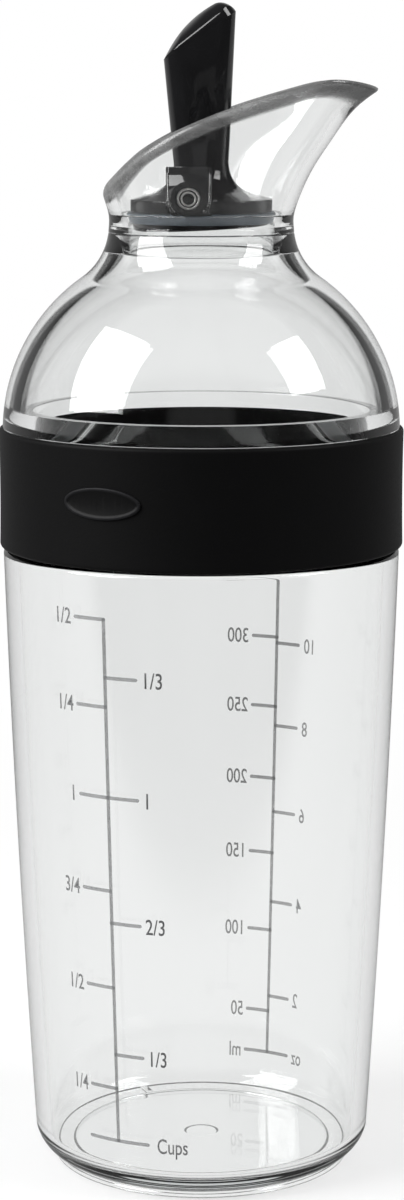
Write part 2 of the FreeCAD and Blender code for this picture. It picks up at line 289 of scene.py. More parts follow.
def rounded_plate(length, width, corner, steps):
    """A flat rectangle about the origin with round corners."""
    mesh = bmesh.new()
    bmesh.ops.create_grid(mesh, x_segments=1, y_segments=1, size=0.5)
    bmesh.ops.scale(mesh, vec=(length, width, 1), verts=mesh.verts)
    bmesh.ops.bevel(mesh, geom=mesh.verts[:], offset=corner, offset_type="OFFSET", affect="VERTICES",
                    segments=steps, profile=0.5, material=-1)
    return mesh


def turn_mesh(mesh, angle, axis):
    """Turns a mesh about an axis through the origin."""
    turn = Matrix.Rotation(angle, 3, axis)
    bmesh.ops.rotate(mesh, cent=(0, 0, 0), matrix=turn, verts=mesh.verts)


def bar_mesh(radius, half_length):
    """A closed round bar along Y about the pivot's centre."""
    mesh = bmesh.new()
    bmesh.ops.create_cone(mesh, cap_ends=True, segments=SMALL_STEPS, radius1=radius, radius2=radius,
                          depth=2 * half_length)
    turn_mesh(mesh, math.pi / 2, "X")
    bmesh.ops.translate(mesh, vec=(PIN_CENTRE.x, 0, PIN_CENTRE.z), verts=mesh.verts)
    return mesh


def only(kind, items):
    """The vertices, edges or faces among a mesh operator's results."""
    return [item for item in items if isinstance(item, kind)]


def polar(reach, turn, height):
    """A point by its distance from the bottle's axis, its direction and its height."""
    return Vector((reach * math.cos(turn), reach * math.sin(turn), height))


def join_mesh(target, source):
    """Adds one mesh's faces to another's."""
    data = bpy.data.meshes.new("join")
    source.to_mesh(data)
    source.free()
    target.from_mesh(data)
    bpy.data.meshes.remove(data)


def new_object(name, mesh):
    """An object at the origin that holds a finished bmesh."""
    data = bpy.data.meshes.new(name)
    mesh.to_mesh(data)
    mesh.free()
    piece = bpy.data.objects.new(name, data)
    bpy.context.scene.collection.objects.link(piece)
    return piece


def smooth(piece, angle=32):
    """Smooth shading, with edges sharper than an angle in degrees kept crisp."""
    piece.data.shade_smooth()
    piece.data.set_sharp_from_angle(angle=math.radians(angle))
    return piece


def settle(piece):
    """Makes a piece's modifiers part of its mesh."""
    graph = bpy.context.evaluated_depsgraph_get()
    data = bpy.data.meshes.new_from_object(piece.evaluated_get(graph))
    piece.modifiers.clear()
    piece.data = data
    return piece


def combine(piece, tool_mesh, operation):
    """Joins a closed mesh to a piece with UNION, or cuts it away with DIFFERENCE."""
    tool = new_object("tool", tool_mesh)
    modifier = piece.modifiers.new("combine", "BOOLEAN")
    modifier.operation = operation
    modifier.solver = "EXACT"
    modifier.object = tool
    settle(piece)
    bpy.data.objects.remove(tool)


def soften(piece, width):
    """Rounds a piece's sharp edges."""
    modifier = piece.modifiers.new("soften", "BEVEL")
    modifier.width = width
    modifier.segments = SOFT_STEPS
    modifier.limit_method = "ANGLE"
    modifier.angle_limit = math.radians(SOFT_ANGLE)
    return settle(piece)


# Materials

# The Mix node's sockets for colours, by number
MIX_FIRST = 6
MIX_SECOND = 7
MIX_RESULT = 2


class Wire:
    """A node's output, with Python's operators adding Math nodes."""

    def __init__(self, finish, socket):
        self.finish = finish
        self.socket = socket

    def maths(self, operation, first, second):
        """Adds a Math node for two wires or values."""
        return self.finish.add("ShaderNodeMath", {"operation": operation}, {0: first, 1: second})

    def __add__(self, other):
        return self.maths("ADD", self, other)

    def __sub__(self, other):
        return self.maths("SUBTRACT", self, other)

    def __rsub__(self, other):
        return self.maths("SUBTRACT", other, self)

    def __mul__(self, other):
        return self.maths("MULTIPLY", self, other)

    __radd__ = __add__
    __rmul__ = __mul__


class Finish:
    """The nodes of one material or of the world."""

    def __init__(self, holder):
        holder.use_nodes = True
        self.holder = holder
        self.tree = holder.node_tree
        self.tree.nodes.clear()

    def add(self, kind, settings=None, inputs=None, output=0):
        """Adds a node: its settings first, then the values or links of its sockets."""
        node = self.tree.nodes.new(kind)
        for name, setting in (settings or {}).items():
            setattr(node, name, setting)
        for name, value in (inputs or {}).items():
            if isinstance(value, Wire):
                self.tree.links.new(value.socket, node.inputs[name])
            else:
                node.inputs[name].default_value = value
        return Wire(self, node.outputs[output]) if node.outputs else None

    def place(self):
        """The place on the piece, in metres."""
        return self.add("ShaderNodeTexCoord", output="Object")

    def mark(self, name):
        """A point attribute of the mesh."""
        return self.add("ShaderNodeAttribute", {"attribute_name": name}, {}, "Fac")

    def vector(self, operation, *values, output=0):
        """Adds a Vector Math node for one or two wires or vectors."""
        settings = {"operation": operation}
        return self.add("ShaderNodeVectorMath", settings, dict(enumerate(values)), output)

    def axis(self, vector, name):
        """One of a vector's three parts."""
        return self.add("ShaderNodeSeparateXYZ", {}, {0: vector}, name)

    def noise(self, grain, detail, stretch=(1, 1, 1)):
        """Noise from 0 to 1 whose grains are about that long, in metres."""
        spread = self.add("ShaderNodeMapping", {}, {"Vector": self.place(), "Scale": stretch})
        inputs = {"Vector": spread, "Scale": 1 / grain, "Detail": detail}
        return self.add("ShaderNodeTexNoise", {}, inputs)

    def blend(self, share, first, second):
        """A colour between two others, the first of which may be a wire."""
        start = first if isinstance(first, Wire) else (*first, 1)
        ends = {"Factor": share, MIX_FIRST: start, MIX_SECOND: (*second, 1)}
        return self.add("ShaderNodeMix", {"data_type": "RGBA"}, ends, MIX_RESULT)

    def bump(self, height, depth, strength):
        """A normal that a height from 0 to 1 tilts, for a depth in metres."""
        inputs = {"Height": height, "Distance": depth, "Strength": strength}
        return self.add("ShaderNodeBump", {}, inputs)

    def step(self, value, low, high):
        """0 below a value, 1 above another and smooth between."""
        ends = {"Value": value, "From Min": low, "From Max": high}
        return self.add("ShaderNodeMapRange", {"interpolation_type": "SMOOTHSTEP"}, ends)

    def surface(self, shader, volume=None):
        """Ends the nodes with a shader, and returns the material or world."""
        world = isinstance(self.holder, bpy.types.World)
        links = {"Surface": shader}
        if volume:
            links["Volume"] = volume
        self.add("ShaderNodeOutputWorld" if world else "ShaderNodeOutputMaterial", {}, links)
        return self.holder

    def principled(self, inputs):
        """A Principled shader with these sockets set."""
        return self.add("ShaderNodeBsdfPrincipled", {}, inputs)

    def mixed(self, share, first, second):
        """A shader between two others."""
        return self.add("ShaderNodeMixShader", {}, {0: share, 1: first, 2: second})

    def plastic(self, inputs):
        """A Principled surface with these sockets set."""
        return self.surface(self.principled(inputs))


CLEAR_INDEX = 1.52
# How much paler the pad's rim is than the band, a painted highlight
RIM_HIGHLIGHT = 9


def shade(colour, factor):
    """A colour made darker or paler by a factor."""
    return [channel * factor for channel in colour]


def clear_plastic(finish, colours):
    """Polished clear plastic, a little grey where it is thick, with faint haze, and on the lip a painted
    grey band that stands in for the thick rim's shade and internal reflections.
    """
    haze = finish.noise(9 * MM, 4)
    film = finish.noise(40 * MM, 2)
    lip = finish.mark(LIP_MARK)
    streaks = finish.noise(1.2 * MM, 3, (0.25, 1, 1))
    inputs = {"Color": (0.55, 0.58, 0.58, 1), "Density": 16.0}
    absorption = finish.add("ShaderNodeVolumeAbsorption", {}, inputs)
    clear = finish.principled({
        "Base Color": finish.blend(film, colours.clear, shade(colours.clear, 0.985)),
        "Roughness": haze * 0.012 + lip * 0.12,
        "IOR": CLEAR_INDEX,
        "Transmission Weight": 1.0,
    })
    # Painted shade and reflection: towards the lip the clear plastic is mixed with a grey surface that
    # is not clear
    rim_shade = finish.principled({
        "Base Color": finish.blend(streaks, shade(colours.clear, 0.1), shade(colours.clear, 0.3)),
        "Roughness": 0.25,
        "IOR": CLEAR_INDEX,
    })
    share = finish.step(lip, 0.2, 0.8) * (0.5 + streaks * 0.3)
    return finish.surface(finish.mixed(share, clear, rim_shade), absorption)


def grip_rubber(finish, colours):
    """Soft matte black with a fine spark-eroded grain."""
    grain = finish.noise(0.28 * MM, 4)
    patches = finish.noise(5 * MM, 3)
    return finish.plastic({
        "Base Color": finish.blend(patches, shade(colours.grip, 0.8), shade(colours.grip, 1.35)),
        "Roughness": 0.5 + grain * 0.16,
        "Specular IOR Level": 0.12,
        "Sheen Weight": 0.05,
        "Sheen Roughness": 0.4,
        "Normal": finish.bump(grain, 0.05 * MM, 0.6),
    })


def pad_rubber(finish, colours):
    """The same soft black, smoother, with a painted highlight that makes its raised rim paler."""
    grain = finish.noise(0.5 * MM, 3)
    rim_highlight = finish.mark(LIP_MARK)
    black = finish.blend(grain, shade(colours.grip, 0.8), shade(colours.grip, 1.3))
    return finish.plastic({
        # Painted highlight: the rim is lightened towards a paler grey
        "Base Color": finish.blend(rim_highlight * (0.4 + grain * 0.6), black, shade(colours.grip, RIM_HIGHLIGHT)),
        "Roughness": 0.42 + grain * 0.12,
        "Specular IOR Level": 0.16,
        "Normal": finish.bump(grain, 0.02 * MM, 0.4),
    })


def gloss_black(finish, colours):
    """Polished black moulding with a faint flow ripple and fine rub marks."""
    ripple = finish.noise(4 * MM, 2)
    rubs = finish.noise(0.9 * MM, 5, (1, 1, 0.15))
    return finish.plastic({
        "Base Color": finish.blend(ripple, colours.lever, shade(colours.lever, 1.6)),
        "Roughness": 0.05 + rubs * 0.07,
        "IOR": 1.5,
        "Normal": finish.bump(ripple, 0.02 * MM, 0.35),
    })


def seal_silicone(finish, colours):
    """Satin silicone with cloudy depth."""
    cloud = finish.noise(2.5 * MM, 3)
    dust = finish.noise(0.4 * MM, 4)
    return finish.plastic({
        "Base Color": finish.blend(cloud, shade(colours.seal, 0.85), shade(colours.seal, 1.15)),
        "Roughness": 0.34 + dust * 0.2,
        "Subsurface Weight": 0.15,
        "Subsurface Radius": (2 * MM, 2 * MM, 2 * MM),
        "Normal": finish.bump(dust, 0.02 * MM, 0.3),
    })


def gasket_silicone(finish, colours):
    """Soft clear silicone that blurs what lies behind it."""
    cloud = finish.noise(2.5 * MM, 3)
    return finish.plastic({
        "Base Color": finish.blend(cloud, colours.gasket, shade(colours.gasket, 0.85)),
        "Roughness": 0.25 + cloud * 0.15,
        "IOR": 1.41,
        "Transmission Weight": 0.9,
    })


def turned_steel(finish, colours):
    """Satin steel with turning marks round the pin, and painted shade that makes its bores and end
    grooves dark.
    """
    marks = finish.noise(0.5 * MM, 4, (0.3, 6, 0.3))
    offset = finish.vector("SUBTRACT", finish.place(), PIN_CENTRE)
    level = finish.vector("MULTIPLY", offset, (1, 0, 1))
    reach = finish.vector("LENGTH", level, output="Value")
    # Painted shade: near black in the bore and in the groove round each end
    bore = 1 - finish.step(reach, PIN_BORE, PIN_BORE + PIN_BLUR)
    groove = finish.step(reach, PIN_GROOVE - PIN_STEP - PIN_BLUR, PIN_GROOVE - PIN_STEP)
    outside = finish.step(reach, PIN_GROOVE - PIN_BLUR, PIN_GROOVE)
    steel = finish.blend(marks, colours.steel, shade(colours.steel, 0.8))
    return finish.plastic({
        "Base Color": finish.blend(bore + groove * (1 - outside), steel, shade(colours.steel, 0.03)),
        "Metallic": 0.55,
        "Roughness": 0.18 + marks * 0.16,
        "Normal": finish.bump(marks, 0.01 * MM, 0.3),
    })


def scale_ink(finish, colours):
    """Grey printing ink that lies a little unevenly, darker and denser in the lettering."""
    cover = finish.noise(0.6 * MM, 4)
    lettering = finish.mark(LETTER_MARK)
    ink = finish.blend(cover, shade(colours.print_ink, 0.9), shade(colours.print_ink, 1.15))
    return finish.plastic({
        "Base Color": finish.blend(lettering * 0.8, ink, shade(colours.print_ink, 0.2)),
        "Roughness": 0.45 + cover * 0.2,
        "Alpha": 0.38 + cover * 0.15 + lettering * 0.35,
    })


FINISHES = {
    "clear_plastic": clear_plastic,
    "black_grip": grip_rubber,
    "pad_rubber": pad_rubber,
    "black_gloss": gloss_black,
    "grey_silicone": seal_silicone,
    "clear_silicone": gasket_silicone,
    "steel": turned_steel,
    "print_ink": scale_ink,
}


def finish_of(context, name):
    """The material of a finish, made when it is first asked for."""
    title = "finish_" + name
    material = bpy.data.materials.get(title)
    if not material:
        finish = Finish(bpy.data.materials.new(title))
        material = FINISHES[name](finish, context.scene.bottle_finishes)
    return material


class BottlePiece:
    """What the operators that add pieces share"""

    bl_options = {"REGISTER", "UNDO"}

    def dress(self, context, piece, body, slot, *nodes, finish=None):
        """Gives a piece its finish and the body that it moves with, and hides the imported nodes that it
        stands for.
        """
        piece.data.materials.clear()
        piece.data.materials.append(finish_of(context, finish or slot))
        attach(piece, body)
        if nodes:
            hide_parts(*nodes)


# Container

FOOT_RADIUS = 28.6 * MM
FOOT_WIDTH = 3.8 * MM
FOOT_HEIGHT = 1.4 * MM
FOOT_DEPTH = 1.2 * MM
NOTCH_WIDTH = 1.6 * MM
NOTCH_HEIGHT = 0.7 * MM
NOTCH_ANGLE = 115.0
GATE_RADIUS = 3.0 * MM
GATE_DEPTH = 0.3 * MM
BASE_RADIUS = 32.2 * MM
BASE_CURVE_HEIGHT = 5.8 * MM
BASE_CURVE_BULGE = 0.65 * MM
BASE_CORNER = 0.6 * MM
WALL_BULGE = 0.45 * MM
SKIRT_GAP = 0.4 * MM
SHOULDER_HEIGHT = SKIRT_FOOT - SKIRT_GAP
SHOULDER_ROUND = 0.9 * MM
SHOULDER_START = 10.0
SHOULDER_STEPS = 6
INNER_SHOULDER_DROP = 0.3 * MM
INNER_SHOULDER_RISE = 1.8 * MM
FLOOR_CORNER = 2.2 * MM
FLOOR_CORNER_STEPS = 10
MOUTH_RADIUS = 34.0 * MM
MOUTH_WALL = 2.2 * MM
WALL_ROWS = 16
BASE_ROWS = 8


def wall_radius(height):
    """The container's outer radius at a height."""
    share = (height - BASE_CURVE_HEIGHT) / (SHOULDER_HEIGHT - BASE_CURVE_HEIGHT)
    straight = BASE_RADIUS + (SHOULDER_RADIUS - BASE_RADIUS) * share
    return straight + 4 * WALL_BULGE * share * (1 - share)


def wall_stretch(low, high, inset=0.0):
    """Points up the container's wall."""
    heights = [low + (high - low) * row / WALL_ROWS for row in range(WALL_ROWS + 1)]
    return [(wall_radius(height) - inset, height) for height in heights]


def base_curve():
    """Points up the bulged undercut from the foot ring towards the wall."""
    start = Vector((FOOT_RADIUS, FOOT_HEIGHT))
    way = Vector((BASE_RADIUS, BASE_CURVE_HEIGHT)) - start
    outward = Vector((way.y, -way.x)).normalized()
    points = []
    for row in range(BASE_ROWS):
        share = row / BASE_ROWS
        bulge = 4 * BASE_CURVE_BULGE * share * (1 - share)
        points.append(tuple(start + way * share + outward * bulge))
    return points


class AddContainer(BottlePiece, bpy.types.Operator):
    """Adds the clear container with its foot ring, shoulder and mouth"""

    bl_idname = "bottle.add_container"
    bl_label = "Container"

    def execute(self, context):
        sizes = context.scene.bottle_sizes
        edge = sizes.edge_round
        floor_top = FOOT_DEPTH + sizes.floor_thickness
        foot_inner = FOOT_RADIUS - FOOT_WIDTH
        mouth_inner = MOUTH_RADIUS - MOUTH_WALL
        wall_end = SHOULDER_HEIGHT - SHOULDER_ROUND
        inner_top = SHOULDER_HEIGHT - INNER_SHOULDER_DROP
        corner_top = floor_top + FLOOR_CORNER
        corner_radius = wall_radius(corner_top) - sizes.container_wall
        corner = arc_points((corner_radius - FLOOR_CORNER, corner_top), FLOOR_CORNER, 0, -90,
                            FLOOR_CORNER_STEPS)
        inside = wall_stretch(corner_top, inner_top, sizes.container_wall)
        shoulder_centre = (wall_radius(wall_end) - SHOULDER_ROUND, wall_end)
        points = outline(
            (0, FOOT_DEPTH + GATE_DEPTH),
            (GATE_RADIUS, FOOT_DEPTH + GATE_DEPTH, 2 * edge),
            (GATE_RADIUS + GATE_DEPTH, FOOT_DEPTH, edge),
            (foot_inner, FOOT_DEPTH, edge),
            (foot_inner, 0, edge),
            (FOOT_RADIUS, 0, 2 * edge),
            base_curve(),
            (BASE_RADIUS, BASE_CURVE_HEIGHT, BASE_CORNER),
            wall_stretch(BASE_CURVE_HEIGHT, wall_end)[1:],
            arc_points(shoulder_centre, SHOULDER_ROUND, SHOULDER_START, 90, SHOULDER_STEPS),
            (MOUTH_RADIUS, SHOULDER_HEIGHT, edge),
            (MOUTH_RADIUS, MOUTH_TOP, 2 * edge),
            (mouth_inner, MOUTH_TOP, 2 * edge),
            (mouth_inner, SHOULDER_HEIGHT + INNER_SHOULDER_RISE, 4 * edge),
            inside[::-1],
            corner[1:],
            (0, floor_top),
        )
        piece = new_object("container_vessel", lathe(points, WALL_STEPS))
        notch = box_mesh((foot_inner - FOOT_WIDTH / 2, -NOTCH_WIDTH / 2, -FOOT_DEPTH),
                         (FOOT_RADIUS + FOOT_WIDTH, NOTCH_WIDTH / 2, NOTCH_HEIGHT))
        turn_mesh(notch, math.radians(NOTCH_ANGLE), "Z")
        combine(piece, notch, "DIFFERENCE")
        smooth(piece)
        self.dress(context, piece, "container", "clear_plastic", "container")
        return {"FINISHED"}


# Lid

DOME_RADIUS = 35.1 * MM
DOME_CENTRE_DROP = 1.0 * MM
NECK_RADIUS = 17.2 * MM
NECK_BLEND = 12.0 * MM
NECK_BORE = 15.4 * MM
SEAM_GAP = 0.12 * MM
SKIRT_RADIUS = 36.6 * MM
SKIRT_WALL = 1.4 * MM
LEDGE_RADIUS = 31.6 * MM
LEDGE_RISE = 3.5 * MM
BAND_EDGE = 0.7 * MM
BAND_WAIST = 0.12 * MM
BAND_ROWS = 14
BAND_EDGE_STEPS = 6
LID_TOP = BAND_TOP + FIT_GAP
DOME_STEPS = 40
BLEND_STEPS = 24


class AddLidDome(BottlePiece, bpy.types.Operator):
    """Adds the lid's clear dome with its neck and skirt"""

    bl_idname = "bottle.add_lid_dome"
    bl_label = "Lid dome"

    def execute(self, context):
        sizes = context.scene.bottle_sizes
        edge = sizes.edge_round
        centre_height = LID_TOP - DOME_CENTRE_DROP
        offset = DOME_FOOT_RADIUS - math.sqrt(DOME_RADIUS ** 2 - DOME_CENTRE_DROP ** 2)
        blend_radius = NECK_RADIUS + NECK_BLEND
        run = blend_radius - offset
        rise = math.sqrt((DOME_RADIUS + NECK_BLEND) ** 2 - run ** 2)
        meeting = math.degrees(math.atan2(rise, run))
        dome_centre = (offset, centre_height)
        blend_centre = (blend_radius, centre_height + rise)
        seam = 180 + math.degrees(math.asin((blend_centre[1] - SEAM_HEIGHT) / NECK_BLEND))
        foot = math.degrees(math.asin(DOME_CENTRE_DROP / DOME_RADIUS))
        inner_radius = DOME_RADIUS - sizes.dome_wall
        inner_blend = NECK_BLEND + sizes.dome_wall
        bore = 180 + math.degrees(math.acos((blend_radius - NECK_BORE) / inner_blend))
        ledge = math.degrees(math.asin((LEDGE_RISE + DOME_CENTRE_DROP) / inner_radius))
        skirt_inner = SKIRT_RADIUS - SKIRT_WALL
        seam_edge = arc_points(blend_centre, NECK_BLEND, 180 + meeting, seam, BLEND_STEPS)
        points = outline(
            arc_points(dome_centre, DOME_RADIUS, foot, meeting, DOME_STEPS),
            seam_edge[1:-1],
            (*seam_edge[-1], edge / 2),
            (NECK_BORE, SEAM_HEIGHT, edge),
            arc_points(blend_centre, inner_blend, bore, 180 + meeting, BLEND_STEPS),
            arc_points(dome_centre, inner_radius, meeting, ledge, DOME_STEPS)[1:],
            (LEDGE_RADIUS, LID_TOP + LEDGE_RISE, edge),
            (LEDGE_RADIUS, GASKET_TOP, edge),
            (skirt_inner, GASKET_TOP, edge),
            (skirt_inner, SKIRT_FOOT, edge),
            (SKIRT_RADIUS, SKIRT_FOOT, edge),
            (SKIRT_RADIUS, LID_TOP),
        )
        piece = smooth(new_object("dome_shell", lathe(points, WALL_STEPS)))
        self.dress(context, piece, "lid", "clear_plastic", "lid_dome")
        return {"FINISHED"}


class AddGripBand(BottlePiece, bpy.types.Operator):
    """Adds the soft matte band round the lid's skirt"""

    bl_idname = "bottle.add_grip_band"
    bl_label = "Grip band"

    def execute(self, context):
        inner = SKIRT_RADIUS + FIT_GAP
        low = BAND_FOOT + BAND_EDGE
        high = BAND_TOP - BAND_EDGE
        side = []
        for row in range(BAND_ROWS + 1):
            share = row / BAND_ROWS
            waist = 4 * BAND_WAIST * share * (1 - share)
            side.append((BAND_RADIUS - waist, low + (high - low) * share))
        rim = BAND_RADIUS - BAND_EDGE
        points = outline(
            (inner, BAND_TOP),
            (inner, BAND_FOOT),
            arc_points((rim, low), BAND_EDGE, -90, 0, BAND_EDGE_STEPS)[:-1],
            side,
            arc_points((rim, high), BAND_EDGE, 0, 90, BAND_EDGE_STEPS)[1:],
        )
        piece = smooth(new_object("grip_sleeve", lathe(points, WALL_STEPS)))
        self.dress(context, piece, "lid", "black_grip", "grip_band")
        return {"FINISHED"}


class AddLidGasket(BottlePiece, bpy.types.Operator):
    """Adds the silicone ring between the mouth and the lid"""

    bl_idname = "bottle.add_lid_gasket"
    bl_label = "Lid gasket"

    def execute(self, context):
        edge = 2 * context.scene.bottle_sizes.edge_round
        outer = radius_of("lid_gasket")
        inner = MOUTH_RADIUS - MOUTH_WALL + (MOUTH_RADIUS - outer)
        points = outline((inner, MOUTH_TOP, edge), (outer, MOUTH_TOP, edge),
                         (outer, GASKET_TOP, edge), (inner, GASKET_TOP, edge))
        piece = smooth(new_object("gasket_ring", lathe(points, WALL_STEPS)))
        self.dress(context, piece, "lid_carrier", "clear_silicone", "lid_gasket")
        return {"FINISHED"}


# Pour spout

SPOUT_HEIGHT = 28.0 * MM
SPOUT_FLARE = 3.9 * MM
BEAK_REACH = 16.0 * MM
BEAK_SHARPNESS = 7.0
RIM_BACK = -18.1 * MM
RIM_TIP = NECK_RADIUS + BEAK_REACH
SPIGOT_RADIUS = 15.3 * MM
SEAT_TOP = SEAM_HEIGHT + 3.7 * MM
SEAT_RADIUS = 14.0 * MM
SEAT_FLARE = 0.5 * MM
LIP_DEPTH = 2.3 * MM
# How far below the rim the lip's painted grey band of shade reaches, before it fades out over LIP_FADE
LIP_SHADE_DEPTH = 3.2 * MM
LIP_FADE = 0.9 * MM
LIP_ROUND = 1.55 * MM
LIP_INNER_ROUND = 0.5 * MM
BEAK_LIP = 0.4
SPOUT_ROWS = 28
RIM_HALVINGS = 40
# The flare of the sides and the reach of the beak, by shares of the spout's height
SIDE_FLARE = [(0, 0.025), (0.114, 0), (0.268, 0.31), (0.429, 0.56), (0.607, 0.77), (0.786, 0.9),
              (1.036, 1)]
BEAK_CURVE = [(0, 0.006), (0.114, 0), (0.268, 0.0875), (0.429, 0.225), (0.607, 0.43), (0.786, 0.656),
              (0.893, 0.869), (1.036, 1.27)]
# The rim from the side, by shares of the way from back to tip and of the spout's height
RIM_CURVE = [(-0.115, 0.071), (0, 0.307), (0.138, 0.546), (0.384, 0.771), (0.708, 0.961), (0.834, 1),
             (1, 0.943), (1.094, 0.839)]
POCKET_FACE = 14.3 * MM
POCKET_WALL = 0.55 * MM
POCKET_HEIGHT = 5.6 * MM
POCKET_SINK = 0.2 * MM
POCKET_DEPTH = 1.2 * MM
POCKET_LEAN = 2.1 * MM
SLOT_STEPS = 64
BOSS_RADIUS = 3.1 * MM
BOSS_CLEARANCE = 0.3 * MM
BOSS_BITE = BOSS_END - POCKET_FACE
BEAD_RADIUS = 0.22 * MM
BEAD_HEIGHT = 4.6 * MM
BEAD_TURN = 44.0
BEAD_STEPS = 16
BEAD_TURN_STEPS = 12


def beak_pull(turn):
    """1 at the beak, falling to 0 round the spout."""
    return ((1 + math.cos(turn)) / 2) ** BEAK_SHARPNESS


def spout_reach(turn, height):
    """The spout's outer radius in a direction and at a height."""
    share = (height - SEAM_HEIGHT) / SPOUT_HEIGHT
    side = SPOUT_FLARE * smooth_curve(SIDE_FLARE, share)
    front = BEAK_REACH * smooth_curve(BEAK_CURVE, share)
    return NECK_RADIUS + side + (front - side) * beak_pull(turn)


def rim_height(reach):
    """The height of the rim's cut at a distance along X."""
    way = (reach - RIM_BACK) / (RIM_TIP - RIM_BACK)
    return SEAM_HEIGHT + SPOUT_HEIGHT * smooth_curve(RIM_CURVE, way)


def wall_top(turn, inset):
    """Where the spout's wall meets the rim's cut in one direction."""
    low = SEAT_TOP
    high = SEAM_HEIGHT + SPOUT_HEIGHT * SIDE_FLARE[-1][0]
    for _ in range(RIM_HALVINGS):
        middle = (low + high) / 2
        reach = (spout_reach(turn, middle) - inset) * math.cos(turn)
        if middle < rim_height(reach):
            low = middle
        else:
            high = middle
    return low


def flare_spout(mesh, tube_top, wall):
    """Pulls a straight tube's wall out to the spout's flare and slanted rim, and marks its lip."""
    tops = {}
    mark = mesh.verts.layers.float.new(LIP_MARK)
    for vertex in mesh.verts:
        radius = math.hypot(vertex.co.x, vertex.co.y)
        inset = NECK_RADIUS - radius
        height = vertex.co.z
        if height < SEAM_HEIGHT or inset > wall + NEAR:
            continue
        turn = math.atan2(vertex.co.y, vertex.co.x)
        key = (round(math.degrees(turn), 3), round(inset / MM, 3))
        if key not in tops:
            tops[key] = wall_top(turn, inset)
        drop = tube_top - height
        lip = 1 - (1 - BEAK_LIP) * beak_pull(turn)
        if drop <= LIP_DEPTH:
            height = tops[key] - drop * lip
        elif height > SEAT_TOP:
            share = (height - SEAT_TOP) / (tube_top - LIP_DEPTH - SEAT_TOP)
            height = SEAT_TOP + share * (tops[key] - LIP_DEPTH * lip - SEAT_TOP)
        # The lip mark, which places the painted grey band of shade on the clear plastic
        vertex[mark] = max(0, min(1, (LIP_SHADE_DEPTH - tops[key] + height) / LIP_FADE))
        vertex.co = polar(spout_reach(turn, height) - inset, turn, height)


def tube_wall(radius, low, high):
    """Points along the straight tube's wall, upwards or downwards."""
    return [(radius, low + (high - low) * row / SPOUT_ROWS) for row in range(SPOUT_ROWS + 1)]


def pocket_pad(side):
    """The block on the spout's inner wall that carries one boss."""
    half = BOSS_RADIUS + BOSS_CLEARANCE + POCKET_WALL
    top = PIN_CENTRE.z + POCKET_HEIGHT
    mesh = box_mesh((PIN_CENTRE.x - half, POCKET_FACE, SEAT_TOP - POCKET_SINK),
                    (PIN_CENTRE.x + half, POCKET_FACE + POCKET_DEPTH, top))
    outer_top = [vertex for vertex in mesh.verts
                 if vertex.co.z > SEAT_TOP and vertex.co.y > POCKET_FACE + NEAR]
    bmesh.ops.translate(mesh, vec=(0, POCKET_LEAN, 0), verts=outer_top)
    if side < 0:
        mirror_in_y(mesh)
    return mesh


def pocket_slot(side):
    """The U that one boss drops into."""
    radius = BOSS_RADIUS + BOSS_CLEARANCE
    near = POCKET_FACE - BOSS_BITE
    far = BOSS_END + BOSS_CLEARANCE
    mesh = bmesh.new()
    bmesh.ops.create_circle(mesh, cap_ends=True, segments=SLOT_STEPS, radius=radius)
    for vertex in mesh.verts:
        across, up = vertex.co.x, vertex.co.y
        if up > NEAR:
            across, up = math.copysign(radius, across), 2 * POCKET_HEIGHT
        vertex.co = (PIN_CENTRE.x + across, near, PIN_CENTRE.z + up)
    bmesh.ops.remove_doubles(mesh, verts=mesh.verts, dist=MERGE_DISTANCE)
    grown = bmesh.ops.extrude_face_region(mesh, geom=mesh.faces[:], use_keep_orig=True)["geom"]
    bmesh.ops.translate(mesh, vec=(0, far - near, 0), verts=only(BMVert, grown))
    bmesh.ops.recalc_face_normals(mesh, faces=mesh.faces)
    if side < 0:
        mirror_in_y(mesh)
    return mesh


def pocket_bead(side):
    """The raised edge on either side of one pocket, from its top round under the boss."""
    reach = BOSS_RADIUS + BOSS_CLEARANCE + BEAD_RADIUS
    whole = bmesh.new()
    for hand in (1, -1):
        mesh = bmesh.new()
        bmesh.ops.create_circle(mesh, segments=BEAD_STEPS, radius=BEAD_RADIUS)
        place = PIN_CENTRE + Vector((hand * reach, -PIN_CENTRE.y + POCKET_FACE, BEAD_HEIGHT))
        bmesh.ops.translate(mesh, vec=place, verts=mesh.verts)
        grown = bmesh.ops.extrude_edge_only(mesh, edges=mesh.edges[:])["geom"]
        lower = only(BMVert, grown)
        bmesh.ops.translate(mesh, vec=(0, 0, -BEAD_HEIGHT), verts=lower)
        bmesh.ops.spin(mesh, geom=lower + only(BMEdge, grown), cent=PIN_CENTRE, axis=(0, hand, 0),
                       angle=math.radians(BEAD_TURN), steps=BEAD_TURN_STEPS)
        bmesh.ops.holes_fill(mesh, edges=[edge for edge in mesh.edges if edge.is_boundary])
        join_mesh(whole, mesh)
    if side < 0:
        mirror_in_y(whole)
    return closed(whole)


def mirror_in_y(mesh):
    """Moves a mesh to the other side of the bottle."""
    bmesh.ops.scale(mesh, vec=(1, -1, 1), verts=mesh.verts)
    bmesh.ops.recalc_face_normals(mesh, faces=mesh.faces)


